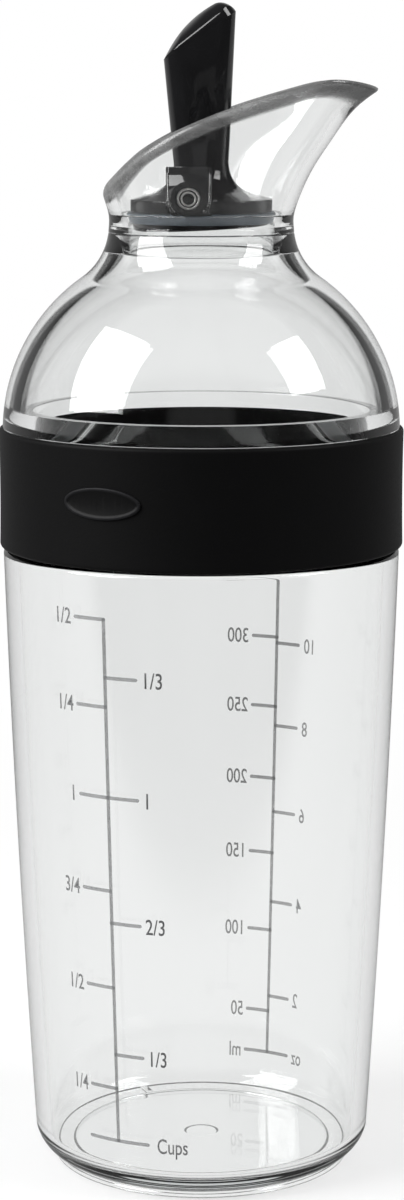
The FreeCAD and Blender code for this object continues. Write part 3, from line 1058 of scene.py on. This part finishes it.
class AddPourSpout(BottlePiece, bpy.types.Operator):
    """Adds the clear pouring spout with the stopper's seat and pivot pockets"""

    bl_idname = "bottle.add_pour_spout"
    bl_label = "Pour spout"

    def execute(self, context):
        sizes = context.scene.bottle_sizes
        edge = sizes.edge_round
        inner = NECK_RADIUS - sizes.spout_wall
        tube_top = SEAM_HEIGHT + SPOUT_HEIGHT
        points = outline(
            (SPIGOT_RADIUS, SEAM_HEIGHT + SEAM_GAP, edge / 2),
            (NECK_RADIUS, SEAM_HEIGHT + SEAM_GAP, edge / 2),
            tube_wall(NECK_RADIUS, SEAM_HEIGHT + 4 * SEAM_GAP, tube_top - LIP_DEPTH),
            (NECK_RADIUS, tube_top, LIP_ROUND),
            (inner, tube_top, LIP_INNER_ROUND),
            tube_wall(inner, tube_top - LIP_DEPTH, SEAT_TOP + edge),
            (inner, SEAT_TOP),
            (SEAT_RADIUS + SEAT_FLARE, SEAT_TOP, edge),
            (SEAT_RADIUS, SEAL_FOOT),
            (SEAT_RADIUS, SPIGOT_FOOT, edge),
            (SPIGOT_RADIUS, SPIGOT_FOOT, edge),
        )
        mesh = lathe(points, WALL_STEPS)
        flare_spout(mesh, tube_top, sizes.spout_wall)
        piece = new_object("spout_shell", closed(mesh))
        for side in (1, -1):
            combine(piece, pocket_pad(side), "UNION")
            combine(piece, pocket_slot(side), "DIFFERENCE")
            combine(piece, pocket_bead(side), "UNION")
        smooth(piece)
        self.dress(context, piece, "lid", "clear_plastic", "pour_spout")
        return {"FINISHED"}


# Stopper

PLATE_RADIUS = 13.2 * MM
PLATE_THICKNESS = 1.5 * MM
PLATE_TOP = PLATE_FOOT + PLATE_THICKNESS
STEM_RADIUS = 5.1 * MM
STEM_TOP = PLATE_TOP + 7.4 * MM
STEM_FOOT_RADIUS = 5.4 * MM
STEM_FOOT_SLOPE = 17.0
STEM_FOOT_STEPS = 14
PADDLE_FOOT_SINK = 1.3 * MM
PADDLE_FOOT_INSET = 0.1 * MM
PADDLE_FRONT = 6.3 * MM
PADDLE_REAR_HEIGHT = 26.1 * MM
PADDLE_LENGTH = 15.8 * MM
PADDLE_WIDTH = 15.0 * MM
PADDLE_CORNER = 3.6 * MM
PADDLE_CORNER_STEPS = 12
PADDLE_TILT = math.radians(33.6)
CAP_HEIGHT = 3.5 * MM
CAP_EDGE = 0.5 * MM
CAP_CREST_SETBACK = 2.6 * MM
CAP_RINGS = 18
CAP_FALL = 2.5
CAP_LOWEST = 0.05 * MM
CAP_CREASE = 40
SCOOP_OFFSET = 1.6 * MM
SCOOP_GAP = 1.4 * MM
SCOOP_SPREAD = 0.23
SCOOP_TOP_DROP = 8.5 * MM
SCOOP_FOOT_RISE = 4.5 * MM
RETAINER_RADIUS = radius_of("seal_retainer")
RETAINER_FRONT = 0.4 * MM
RETAINER_REAR = SEAL_FOOT - foot_of("seal_retainer")
SEAL_HOLE = 9.8 * MM
SEAL_TAPER = 0.4 * MM
PIN_BORE = 0.95 * MM
PIN_BORE_DEPTH = 2.5 * MM
PIN_STEP = 0.2 * MM
PIN_GROOVE = 1.58 * MM
PIN_STEP_ROUND = 0.2 * MM
PIN_GROOVE_ROUND = 0.18 * MM
PIN_RIM_ROUND = 0.24 * MM
PIN_BLUR = 0.06 * MM


def paddle_plane():
    """The tilted plane between the paddle and its thumb cap."""
    rear_reach = PADDLE_FRONT - PADDLE_LENGTH * math.cos(PADDLE_TILT)
    rear = Vector((rear_reach, 0, PLATE_TOP + PADDLE_REAR_HEIGHT))
    along = Vector((math.cos(PADDLE_TILT), 0, math.sin(PADDLE_TILT)))
    middle = Matrix.Translation(rear + along * (PADDLE_LENGTH / 2))
    return middle @ Matrix.Rotation(-PADDLE_TILT, 4, "Y")


def paddle_outline():
    """The paddle's rounded top outline, flat about the origin."""
    return rounded_plate(PADDLE_LENGTH, PADDLE_WIDTH, PADDLE_CORNER, PADDLE_CORNER_STEPS)


def paddle_mesh():
    """The paddle, from the round stem to its tilted top."""
    mesh = paddle_outline()
    bmesh.ops.transform(mesh, matrix=paddle_plane(), verts=mesh.verts)
    top_edges = mesh.edges[:]
    foot = bmesh.ops.create_circle(mesh, segments=len(top_edges), radius=STEM_RADIUS - PADDLE_FOOT_INSET)
    bmesh.ops.translate(mesh, vec=(0, 0, STEM_TOP - PADDLE_FOOT_SINK), verts=foot["verts"])
    foot_edges = [edge for edge in mesh.edges if edge not in top_edges]
    bmesh.ops.bridge_loops(mesh, edges=top_edges + foot_edges)
    bmesh.ops.holes_fill(mesh, edges=foot_edges)
    return closed(mesh)


def stem_points(edge):
    """The outline of the plate, its trumpet-shaped foot and the stem."""
    centre = (STEM_RADIUS + STEM_FOOT_RADIUS, STEM_TOP)
    sweep = arc_points(centre, STEM_FOOT_RADIUS, 180, 270 - STEM_FOOT_SLOPE, STEM_FOOT_STEPS)
    reach = PLATE_RADIUS - sweep[-1][0]
    rim = sweep[-1][1] - reach * math.tan(math.radians(STEM_FOOT_SLOPE))
    return outline((0, STEM_TOP), sweep, (PLATE_RADIUS, rim, edge),
                   (PLATE_RADIUS, PLATE_FOOT, edge), (0, PLATE_FOOT))


def scoop_mesh(side):
    """The cone that hollows one side of the paddle to a pointed arch."""
    rise = PADDLE_LENGTH * math.sin(PADDLE_TILT)
    apex = PLATE_TOP + PADDLE_REAR_HEIGHT + rise - SCOOP_TOP_DROP
    foot = STEM_TOP + SCOOP_FOOT_RISE
    height = apex - foot + SCOOP_GAP / SCOOP_SPREAD
    mesh = bmesh.new()
    bmesh.ops.create_cone(mesh, cap_ends=True, segments=SMALL_STEPS, radius1=height * SCOOP_SPREAD,
                          radius2=0, depth=height)
    place = Vector((SCOOP_OFFSET, side * (PADDLE_WIDTH / 2 + SCOOP_GAP), foot + height / 2))
    bmesh.ops.translate(mesh, vec=place, verts=mesh.verts)
    return closed(mesh)


def cap_height(along, across):
    """The thumb cap's height over the paddle's plane."""
    half = PADDLE_LENGTH / 2
    crest = half - CAP_CREST_SETBACK
    if along < crest:
        profile = 1 - max(0.0, (crest - along) / (crest + half)) ** CAP_FALL
    else:
        profile = math.sqrt(max(0.0, 1 - ((along - crest) / CAP_CREST_SETBACK) ** 2))
    share = min(1.0, abs(across) / (PADDLE_WIDTH / 2))
    return (CAP_EDGE + (CAP_HEIGHT - CAP_EDGE) * math.sqrt(1 - share * share)) * profile


def cap_mesh():
    """The domed thumb cap on the paddle."""
    mesh = paddle_outline()
    base = mesh.faces[:]
    grown = bmesh.ops.extrude_face_region(mesh, geom=base, use_keep_orig=True)["geom"]
    top = only(BMFace, grown)
    bottom = set(vertex for face in base for vertex in face.verts)
    size = 1.0
    for ring in range(1, CAP_RINGS):
        bmesh.ops.inset_region(mesh, faces=top, thickness=0)
        smaller = math.cos(math.pi / 2 * ring / CAP_RINGS)
        bmesh.ops.scale(mesh, vec=(smaller / size, smaller / size, 1), verts=top[0].verts)
        size = smaller
    bmesh.ops.poke(mesh, faces=top)
    for vertex in mesh.verts:
        if vertex not in bottom:
            vertex.co.z = max(CAP_LOWEST, cap_height(vertex.co.x, vertex.co.y))
    bmesh.ops.transform(mesh, matrix=paddle_plane(), verts=mesh.verts)
    return closed(mesh)


class AddStopper(BottlePiece, bpy.types.Operator):
    """Adds the black stopper plate with its lever and thumb cap"""

    bl_idname = "bottle.add_stopper"
    bl_label = "Stopper and lever"

    def execute(self, context):
        edge = context.scene.bottle_sizes.edge_round
        lever = new_object("lever_body", lathe(stem_points(edge), SMALL_STEPS))
        combine(lever, paddle_mesh(), "UNION")
        combine(lever, bar_mesh(BOSS_RADIUS, BOSS_END), "UNION")
        combine(lever, bar_mesh(PIN_RADIUS + FIT_GAP, 2 * BOSS_END), "DIFFERENCE")
        for side in (1, -1):
            combine(lever, scoop_mesh(side), "DIFFERENCE")
        soften(lever, edge)
        smooth(lever)
        self.dress(context, lever, "stopper", "black_gloss", "stopper_lever")
        cap = smooth(new_object("thumb_cap", cap_mesh()), CAP_CREASE)
        self.dress(context, cap, "stopper", "black_gloss", "lever_cap")
        return {"FINISHED"}


class AddStopperSeal(BottlePiece, bpy.types.Operator):
    """Adds the silicone seal under the stopper and the disc that holds it"""

    bl_idname = "bottle.add_stopper_seal"
    bl_label = "Stopper seal"

    def execute(self, context):
        edge = context.scene.bottle_sizes.edge_round
        points = outline((SEAL_HOLE, SEAL_FOOT), (SEAL_RADIUS - SEAL_TAPER, SEAL_FOOT, edge),
                         (SEAL_RADIUS, PLATE_FOOT, 2 * edge), (SEAL_HOLE, PLATE_FOOT))
        seal = smooth(new_object("seal_ring", lathe(points, SMALL_STEPS)))
        self.dress(context, seal, "stopper", "grey_silicone", "stopper_seal")
        hub = SEAL_HOLE - FIT_GAP
        foot = SEAL_FOOT - RETAINER_REAR
        points = outline((0, foot), (RETAINER_RADIUS, foot), (RETAINER_RADIUS, SEAL_FOOT),
                         (hub, SEAL_FOOT), (hub, PLATE_FOOT), (0, PLATE_FOOT))
        mesh = lathe(points, SMALL_STEPS)
        slope = (RETAINER_REAR - RETAINER_FRONT) / (2 * RETAINER_RADIUS)
        cut = bmesh.ops.bisect_plane(mesh, geom=mesh.verts[:] + mesh.edges[:] + mesh.faces[:],
                                     plane_co=(-RETAINER_RADIUS, 0, foot), plane_no=(-slope, 0, 1),
                                     clear_inner=True)
        bmesh.ops.holes_fill(mesh, edges=only(BMEdge, cut["geom_cut"]))
        retainer = new_object("retainer_disc", closed(mesh))
        soften(retainer, edge / 2)
        smooth(retainer)
        self.dress(context, retainer, "stopper", "black_gloss", "seal_retainer")
        return {"FINISHED"}


class AddPivotPin(BottlePiece, bpy.types.Operator):
    """Adds the steel pin with bored ends that the stopper turns on"""

    bl_idname = "bottle.add_pivot_pin"
    bl_label = "Pivot pin"

    def execute(self, context):
        half = PIN_HIGH.y
        end = [
            (PIN_BORE, half - PIN_BORE_DEPTH),
            (PIN_BORE, half - PIN_STEP, PIN_STEP_ROUND),
            (PIN_GROOVE - PIN_STEP, half - PIN_STEP, PIN_STEP_ROUND),
            (PIN_GROOVE - PIN_STEP / 2, half - 3 * PIN_STEP),
            (PIN_GROOVE, half, PIN_GROOVE_ROUND),
            (PIN_RADIUS, half, PIN_RIM_ROUND),
        ]
        other = [(corner[0], -corner[1], *corner[2:]) for corner in end]
        points = outline((0, PIN_BORE_DEPTH - half), *other, *end[::-1], (0, half - PIN_BORE_DEPTH))
        mesh = lathe(points, SMALL_STEPS)
        turn_mesh(mesh, math.pi / 2, "X")
        bmesh.ops.translate(mesh, vec=PIN_CENTRE, verts=mesh.verts)
        pin = smooth(new_object("pin_tube", mesh))
        self.dress(context, pin, "stopper", "steel", "pivot_pin")
        return {"FINISHED"}


# Threads, pad and printed scales

THREAD_LEAD = 5.0 * MM
THREAD_TURNS = 1.6
THREAD_FOOT = SKIRT_FOOT + 3.4 * MM
THREAD_HEIGHT = 0.85 * MM
THREAD_WIDTH = 2.1 * MM
THREAD_CREST = 0.8 * MM
THREAD_GAP = 0.02 * MM
PAD_ANGLE = -118.2
PAD_RISE = 0.54
PAD_WIDTH = 15.7 * MM
PAD_HEIGHT = 5.9 * MM
PAD_RELIEF = 0.4 * MM
PAD_ROOT = 0.2 * MM
PAD_CREASE = 50
# The pad's rim from its edge inwards: inset in millimetres, rise as a share of the relief, share of
# painted highlight
PAD_STEPS = (
    (0.05, 0.75, 0.6),
    (0.1, 0.25, 1.0),
    (0.35, 0.0, 0.8),
    (0.2, -0.35, 0.0),
    (0.25, -0.15, 0.0),
)
PRINT_LIFT = 0.01 * MM
PRINT_THICKNESS = 0.02 * MM
PRINT_STEP = 0.6 * MM
PRINT_RADIUS = 34.7 * MM
PRINT_MERGE = 1e-9
STROKE_ROUND = 0.48
STROKE_STEPS = 5
TEXT_MERGE = 1e-5
LETTER_BOLD = 0.007
DIGIT_NARROWING = 0.72
# The inside that the marks are worked out for: its slope, its radius at the foot and its floor
FILL_TAPER = 0.0448
FILL_BASE = 29.6 * MM
FILL_FOOT = 0.9 * MM
MILLILITRE = 1e-6
CUP = 236.6 * MILLILITRE
OUNCE = CUP / 8

# Each scale: the weight of its lettering, the side it is printed on, its line, its foot line, its
# marks on either side as (volume, label), with the angles in degrees where their ticks end and their
# labels start, and its units as (label, angle, alignment)
CUP_SCALE = {
    "weight": {"left": 0.4, "right": 0.85, "units": 0.6},
    "facing": -90.0, "line": -28.2, "top": 1.5 * CUP,
    "foot": (-38.9, -17.6), "foot_height": 11.4 * MM,
    "left": (-37.7, -39.3, [(CUP / 4, "1/4"), (CUP / 2, "1/2"), (CUP * 3 / 4, "3/4"), (CUP, "1"),
                            (CUP * 5 / 4, "1/4"), (CUP * 3 / 2, "1/2")]),
    "right": (-18.7, -17.0, [(CUP / 3, "1/3"), (CUP * 2 / 3, "2/3"), (CUP, "1"), (CUP * 4 / 3, "1/3")]),
    "units": [("Cups", -14.6, "LEFT")],
}
MILLILITRE_SCALE = {
    "weight": {"left": 0.25, "right": 0.35, "units": 0.25},
    "facing": 90.0, "line": -26.3, "top": 375 * MILLILITRE,
    "foot": (-35.2, -17.2), "foot_height": 10.0 * MM,
    "left": (-34.6, -36.8, [(OUNCE * count, str(count)) for count in (2, 4, 6, 8, 10)]),
    "right": (-17.7, -16.2, [(MILLILITRE * count, str(count)) for count in range(50, 301, 50)]),
    "units": [("ml", -15.6, "LEFT"), ("oz", -37.4, "RIGHT")],
}


def thread_mesh(radius, height, foot):
    """A right-hand screw ridge on a cylinder, standing out by a height or in by a negative one."""
    flank = (THREAD_WIDTH - THREAD_CREST) / 2
    crest = radius + height
    mesh = ring_mesh([(radius, foot), (crest, foot + flank), (crest, foot + (THREAD_WIDTH - flank)),
                      (radius, foot + THREAD_WIDTH)])
    steps = round(SMALL_STEPS * THREAD_TURNS)
    climb = (0, 0, THREAD_LEAD * THREAD_TURNS / steps)
    bmesh.ops.spin(mesh, geom=mesh.verts[:] + mesh.edges[:], cent=(0, 0, 0), axis=(0, 0, 1), dvec=climb,
                   angle=2 * math.pi * THREAD_TURNS, steps=steps)
    ends = [edge for edge in mesh.edges if edge.is_boundary]
    bmesh.ops.holes_fill(mesh, edges=ends)
    return closed(mesh)


class AddThreads(BottlePiece, bpy.types.Operator):
    """Adds the screw threads on the mouth and inside the lid's skirt"""

    bl_idname = "bottle.add_threads"
    bl_label = "Screw threads"

    def execute(self, context):
        ridge = thread_mesh(MOUTH_RADIUS + THREAD_GAP, THREAD_HEIGHT, THREAD_FOOT)
        mouth = smooth(new_object("mouth_thread", ridge))
        self.dress(context, mouth, "container", "clear_plastic")
        skirt_inner = SKIRT_RADIUS - SKIRT_WALL - THREAD_GAP
        ridge = thread_mesh(skirt_inner, -THREAD_HEIGHT, THREAD_FOOT + THREAD_LEAD / 2)
        skirt = smooth(new_object("skirt_thread", ridge))
        self.dress(context, skirt, "lid", "clear_plastic")
        return {"FINISHED"}


def cut_in_strips(mesh, width):
    """Cuts a flat mesh across its length so that it can bend."""
    places = [vertex.co.x for vertex in mesh.verts]
    place = min(places) + width
    while place < max(places):
        bmesh.ops.bisect_plane(mesh, geom=mesh.verts[:] + mesh.edges[:] + mesh.faces[:],
                               plane_co=(place, 0, 0), plane_no=(1, 0, 0))
        place += width


class AddGripPad(BottlePiece, bpy.types.Operator):
    """Adds the plain oval pad with its raised rim on the grip band"""

    bl_idname = "bottle.add_grip_pad"
    bl_label = "Oval pad"

    def execute(self, context):
        mesh = bmesh.new()
        mark = mesh.verts.layers.float.new(LIP_MARK)
        bmesh.ops.create_circle(mesh, cap_ends=True, segments=SMALL_STEPS, radius=0.5)
        bmesh.ops.scale(mesh, vec=(PAD_WIDTH, PAD_HEIGHT, 1), verts=mesh.verts)
        bmesh.ops.translate(mesh, vec=(0, 0, -PAD_ROOT), verts=mesh.verts)
        grown = bmesh.ops.extrude_face_region(mesh, geom=mesh.faces[:], use_keep_orig=True)["geom"]
        top = only(BMFace, grown)
        bmesh.ops.translate(mesh, vec=(0, 0, PAD_ROOT), verts=top[0].verts)
        for inset, rise, rim_highlight in PAD_STEPS:
            bmesh.ops.inset_region(mesh, faces=top, thickness=inset * MM, use_even_offset=True)
            bmesh.ops.translate(mesh, vec=(0, 0, rise * PAD_RELIEF), verts=top[0].verts)
            for vertex in top[0].verts:
                # Each rim step's share of the painted highlight
                vertex[mark] = rim_highlight
        bmesh.ops.triangulate(mesh, faces=top)
        cut_in_strips(mesh, 2 * PRINT_STEP)
        height = BAND_FOOT + PAD_RISE * (BAND_TOP - BAND_FOOT)
        seat = BAND_RADIUS - BAND_WAIST
        for vertex in mesh.verts:
            turn = math.radians(PAD_ANGLE) + vertex.co.x / BAND_RADIUS
            vertex.co = polar(seat + vertex.co.z, turn, height + vertex.co.y)
        pad = smooth(new_object("grip_pad", closed(mesh)), PAD_CREASE)
        self.dress(context, pad, "lid", "black_grip", finish="pad_rubber")
        return {"FINISHED"}


def stroke(start, end, width):
    """A flat line with round ends between two (along, up) points."""
    way = Vector(end) - Vector(start)
    mesh = rounded_plate(way.length + width, width, STROKE_ROUND * width, STROKE_STEPS)
    turn_mesh(mesh, math.atan2(way.y, way.x), "Z")
    middle = (Vector(start) + Vector(end)) / 2
    bmesh.ops.translate(mesh, vec=(middle.x, middle.y, 0), verts=mesh.verts)
    return mesh


def flat_text(words, align):
    """Words as a flat mesh of unit text size, standing on their baseline."""
    curve = bpy.data.curves.new("label", "FONT")
    curve.body = words
    curve.align_x = align
    curve.offset = LETTER_BOLD
    label = bpy.data.objects.new("label", curve)
    bpy.context.scene.collection.objects.link(label)
    graph = bpy.context.evaluated_depsgraph_get()
    data = bpy.data.meshes.new_from_object(label.evaluated_get(graph))
    mesh = bmesh.new()
    mesh.from_mesh(data)
    bpy.data.objects.remove(label)
    bpy.data.curves.remove(curve)
    bpy.data.meshes.remove(data)
    bmesh.ops.remove_doubles(mesh, verts=mesh.verts, dist=TEXT_MERGE)
    return mesh


def digit_height():
    """How tall a digit is at unit text size."""
    mesh = flat_text("1", "LEFT")
    heights = [vertex.co.y for vertex in mesh.verts]
    mesh.free()
    return max(heights) - min(heights)


def fill_height(volume):
    """Where the container's wall is marked for a volume in cubic metres."""
    radius = (3 * volume * FILL_TAPER / math.pi + FILL_BASE ** 3) ** (1 / 3)
    return FILL_FOOT + (radius - FILL_BASE) / FILL_TAPER


class AddScales(BottlePiece, bpy.types.Operator):
    """Adds the printed cup scale in front and the millilitre and ounce scale behind"""

    bl_idname = "bottle.add_scales"
    bl_label = "Printed scales"

    def execute(self, context):
        self.add_scale(context, "cup_scale", CUP_SCALE)
        self.add_scale(context, "millilitre_scale", MILLILITRE_SCALE)
        return {"FINISHED"}

    def add_scale(self, context, name, scale):
        """Draws a scale flat, then lays it round the container's wall."""
        sizes = context.scene.bottle_sizes
        width = sizes.line_width
        weight = scale["weight"]
        foot = scale["foot_height"]
        line = self.along(scale["line"])
        mesh = stroke((line, foot), (line, fill_height(scale["top"])), width)
        mesh.verts.layers.float.new(LETTER_MARK)
        foot_start, foot_end = (self.along(angle) for angle in scale["foot"])
        join_mesh(mesh, stroke((foot_start, foot), (foot_end, foot), width))
        for side, align in (("left", "RIGHT"), ("right", "LEFT")):
            tick_end, label_start, marks = scale[side]
            for volume, words in marks:
                height = fill_height(volume)
                join_mesh(mesh, stroke((line, height), (self.along(tick_end), height), width))
                place = (self.along(label_start), height)
                join_mesh(mesh, self.label(words, align, place, sizes.label_height, weight[side]))
        for words, angle, align in scale["units"]:
            place = (self.along(angle), foot)
            join_mesh(mesh, self.label(words, align, place, sizes.label_height, weight["units"]))
        cut_in_strips(mesh, PRINT_STEP)
        self.wrap(mesh, math.radians(scale["facing"]))
        piece = new_object(name, closed(mesh, PRINT_MERGE))
        self.dress(context, piece, "container", None, finish="print_ink")

    def along(self, angle):
        """The place along the flat print of an angle in degrees."""
        return math.radians(angle) * PRINT_RADIUS

    def label(self, words, align, place, size, weight):
        """Words whose start or end is halfway up at an (along, up) place."""
        mesh = flat_text(words, align)
        mark = mesh.verts.layers.float.new(LETTER_MARK)
        for vertex in mesh.verts:
            vertex[mark] = weight
        scale = size / digit_height()
        bmesh.ops.scale(mesh, vec=(scale * DIGIT_NARROWING, scale, 1), verts=mesh.verts)
        bmesh.ops.translate(mesh, vec=(place[0], place[1] - size / 2, 0), verts=mesh.verts)
        return mesh

    def wrap(self, mesh, facing):
        """Thickens the flat print and lays it round the container's wall."""
        grown = bmesh.ops.extrude_face_region(mesh, geom=mesh.faces[:], use_keep_orig=True)["geom"]
        raised = set(only(BMVert, grown))
        for vertex in mesh.verts:
            height = vertex.co.y
            turn = facing + vertex.co.x / PRINT_RADIUS
            reach = wall_radius(height) + PRINT_LIFT + (PRINT_THICKNESS if vertex in raised else 0)
            vertex.co = polar(reach, turn, height)


# Stage

WHITE = (1, 1, 1, 1)
CAMERA_PLACE = (0.13 * MM, -553.73 * MM, 203.55 * MM)
CAMERA_PITCH = 80.265
CAMERA_LENS = 88.68
CAMERA_SENSOR = 36.0
FLOOR_RADIUS = 1.2
FLOOR_FADE = (0.14, 0.42)
FLOOR_SHADED = 0.35
FLOOR_GLOW = 0.7
FLOOR_THROUGH = 0.95
# Painted shadow: for rays through the bottle the floor is dimmed to this close under it, rising to
# FLOOR_THROUGH over CONTACT_FADE
FLOOR_CONTACT = 0.9
FLOOR_FRONT = (-0.3, -0.12)
CONTACT_FADE = (0.02, 0.06)
FLOOR_REFLECTED = 0.2
# Softboxes: name, place, direction from the lid, width and height, roll in degrees, radiance
SOFTBOXES = [
    ("key_softbox", (-0.686, -0.275, 0.643), (-0.803, -0.292, 0.52), (0.545, 0.7), 9.0, 8.5),
    ("fill_softbox", (0.686, -0.224, 0.663), (0.776, -0.225, 0.589), (0.33, 0.437), -7.6, 8.0),
]
SKY_HORIZON = 0.95
SKY_ZENITH = 0.35
SKY_DARK = 0.02
SKY_REFLECTED = 0.06
SKY_MIRRORED = 0.4
SKY_AMBIENT = 0.5
SKY_BEHIND = (0.0, 0.4)
SKY_WINDOW = (-0.97, -0.9)
SKY_WINDOW_LIGHT = 0.3
SKY_FADE = (0.45, 0.75)
BACKDROP_FADE = (0.2, 0.6)
# The surround's dark strips, by the sine of the angle from the bottle's front and back
DARK_STRIP = (0.33, 0.4, 0.82, 0.92)


class AddStage(bpy.types.Operator):
    """Adds the pale floor, the softboxes, the white surround and the camera"""

    bl_idname = "bottle.add_stage"
    bl_label = "Studio stage"
    bl_options = {"REGISTER", "UNDO"}

    def execute(self, context):
        self.add_floor(context)
        self.add_softboxes(context)
        self.add_surround(context)
        self.add_camera(context)
        context.scene.view_settings.view_transform = "Standard"
        return {"FINISHED"}

    def add_floor(self, context):
        """Adds a disc that is shaded near the bottle and plain white farther off."""
        mesh = bmesh.new()
        bmesh.ops.create_circle(mesh, cap_ends=True, segments=SMALL_STEPS, radius=FLOOR_RADIUS)
        floor = new_object("floor", mesh)
        colour = context.scene.bottle_finishes.floor
        finish = Finish(bpy.data.materials.new("finish_floor"))
        reach = finish.vector("LENGTH", finish.place(), output="Value")
        camera, passed, mirrored = self.ray_kinds(finish)
        front = 1 - finish.step(finish.axis(finish.place(), "Y"), *FLOOR_FRONT)
        shaded = (*shade(colour, FLOOR_SHADED), 1)
        diffuse = finish.add("ShaderNodeBsdfDiffuse", {}, {"Color": shaded})
        glow = self.light(finish, (*colour, 1), camera * FLOOR_GLOW)
        near = finish.add("ShaderNodeAddShader", {}, {0: diffuse, 1: glow})
        # Painted contact shadow under the bottle, for rays that pass through the clear plastic
        contact_shadow = FLOOR_CONTACT + finish.step(reach, *CONTACT_FADE) * (FLOOR_THROUGH - FLOOR_CONTACT)
        through = contact_shadow * (1 - self.turned(finish) * front * (1 - SKY_REFLECTED))
        seen = camera + passed * through + mirrored * FLOOR_REFLECTED
        even = self.light(finish, WHITE, seen)
        away = 1 - (1 - finish.step(reach, *FLOOR_FADE)) * (1 - passed)
        floor.data.materials.append(finish.surface(finish.mixed(away, near, even)))

    def light(self, finish, colour, strength, kind="ShaderNodeEmission"):
        """A shader that gives off light."""
        return finish.add(kind, {}, {"Color": colour, "Strength": strength})

    def ray_kinds(self, finish):
        """1 or 0 for rays straight from the picture, through clear plastic and off gloss."""
        camera = finish.add("ShaderNodeLightPath", output="Is Camera Ray")
        passed = finish.add("ShaderNodeLightPath", output="Is Transmission Ray")
        glossy = finish.add("ShaderNodeLightPath", output="Is Glossy Ray")
        return camera, passed, glossy * (1 - passed)

    def turned(self, finish):
        """1 for rays that some surface has mirrored on their way."""
        turns = finish.add("ShaderNodeLightPath", output="Glossy Depth")
        return finish.add("ShaderNodeMath", {"operation": "MINIMUM"}, {0: turns, 1: 1.0})

    def add_softboxes(self, context):
        """Adds the two area lights."""
        for name, place, direction, size, roll, radiance in SOFTBOXES:
            lamp = bpy.data.lights.new(name, "AREA")
            lamp.shape = "RECTANGLE"
            lamp.size, lamp.size_y = size
            lamp.energy = radiance * math.pi * size[0] * size[1]
            box = bpy.data.objects.new(name, lamp)
            turn = Vector(direction).to_track_quat("Z", "Y").to_matrix()
            box.location = place
            box.rotation_euler = (turn @ Matrix.Rotation(math.radians(roll), 3, "Z")).to_euler()
            context.scene.collection.objects.link(box)

    def add_surround(self, context):
        """Adds a white world with dark strips, dimmer for what gloss mirrors."""
        world = bpy.data.worlds.new("white_surround")
        finish = Finish(world)
        direction = finish.add("ShaderNodeTexCoord", output="Generated")
        height = finish.axis(direction, "Z")
        compass = finish.vector("NORMALIZE", finish.vector("MULTIPLY", direction, (1, 1, 0)))
        across = finish.axis(compass, "X")
        side = finish.add("ShaderNodeMath", {"operation": "ABSOLUTE"}, {0: across})
        strip = finish.step(side, *DARK_STRIP[:2]) * (1 - finish.step(side, *DARK_STRIP[2:]))
        wall = SKY_HORIZON + strip * (SKY_DARK - SKY_HORIZON)
        sky = wall * (1 - finish.step(height, *SKY_FADE) * (1 - SKY_ZENITH))
        facing = finish.axis(compass, "Y")
        behind = finish.step(facing, *SKY_BEHIND)
        window = 1 - finish.step(facing, *SKY_WINDOW)
        front = SKY_REFLECTED + window * SKY_WINDOW_LIGHT
        through = sky * (1 - self.turned(finish) * (1 - behind) * (1 - front))
        camera, passed, mirrored = self.ray_kinds(finish)
        others = 1 - (camera + passed + mirrored)
        low = 1 - finish.step(height, *BACKDROP_FADE)
        backdrop = SKY_REFLECTED + behind * low * (SKY_MIRRORED - SKY_REFLECTED)
        strength = camera + passed * through + mirrored * backdrop + others * SKY_AMBIENT
        finish.surface(self.light(finish, WHITE, strength, "ShaderNodeBackground"))
        context.scene.world = world

    def add_camera(self, context):
        """Adds the photograph's camera."""
        lens = bpy.data.cameras.new("camera")
        lens.sensor_fit = "VERTICAL"
        lens.sensor_height = CAMERA_SENSOR
        lens.lens = CAMERA_LENS
        camera = bpy.data.objects.new("camera", lens)
        camera.location = CAMERA_PLACE
        camera.rotation_euler = (math.radians(CAMERA_PITCH), 0, 0)
        context.scene.collection.objects.link(camera)
        context.scene.camera = camera


PIECE_OPERATORS = (
    AddContainer,
    AddLidGasket,
    AddLidDome,
    AddGripBand,
    AddPourSpout,
    AddStopper,
    AddStopperSeal,
    AddPivotPin,
    AddThreads,
    AddGripPad,
    AddScales,
    AddStage,
)


class BottlePanel(bpy.types.Panel):
    """Sizes, colours and pieces of the bottle"""

    bl_idname = "VIEW3D_PT_bottle"
    bl_label = "Shaker bottle"
    bl_space_type = "VIEW_3D"
    bl_region_type = "UI"
    bl_category = "Bottle"

    def draw(self, context):
        scene = context.scene
        for group in (scene.bottle_sizes, scene.bottle_finishes):
            column = self.layout.column(align=True)
            for name in group.__annotations__:
                column.prop(group, name)
        for operator in PIECE_OPERATORS:
            self.layout.operator(operator.bl_idname)


CLASSES = (BottleSizes, BottleFinishes, *PIECE_OPERATORS, BottlePanel)


def register():
    for item in CLASSES:
        bpy.utils.register_class(item)
    bpy.types.Scene.bottle_sizes = PointerProperty(type=BottleSizes)
    bpy.types.Scene.bottle_finishes = PointerProperty(type=BottleFinishes)


def unregister():
    del bpy.types.Scene.bottle_finishes
    del bpy.types.Scene.bottle_sizes
    for item in reversed(CLASSES):
        bpy.utils.unregister_class(item)


def main():
    register()
    bpy.ops.bottle.add_container()
    bpy.ops.bottle.add_lid_gasket()
    bpy.ops.bottle.add_lid_dome()
    bpy.ops.bottle.add_grip_band()
    bpy.ops.bottle.add_pour_spout()
    bpy.ops.bottle.add_stopper()
    bpy.ops.bottle.add_stopper_seal()
    bpy.ops.bottle.add_pivot_pin()
    bpy.ops.bottle.add_threads()
    bpy.ops.bottle.add_grip_pad()
    bpy.ops.bottle.add_scales()
    bpy.ops.bottle.add_stage()


if __name__ == "__main__":
    main()
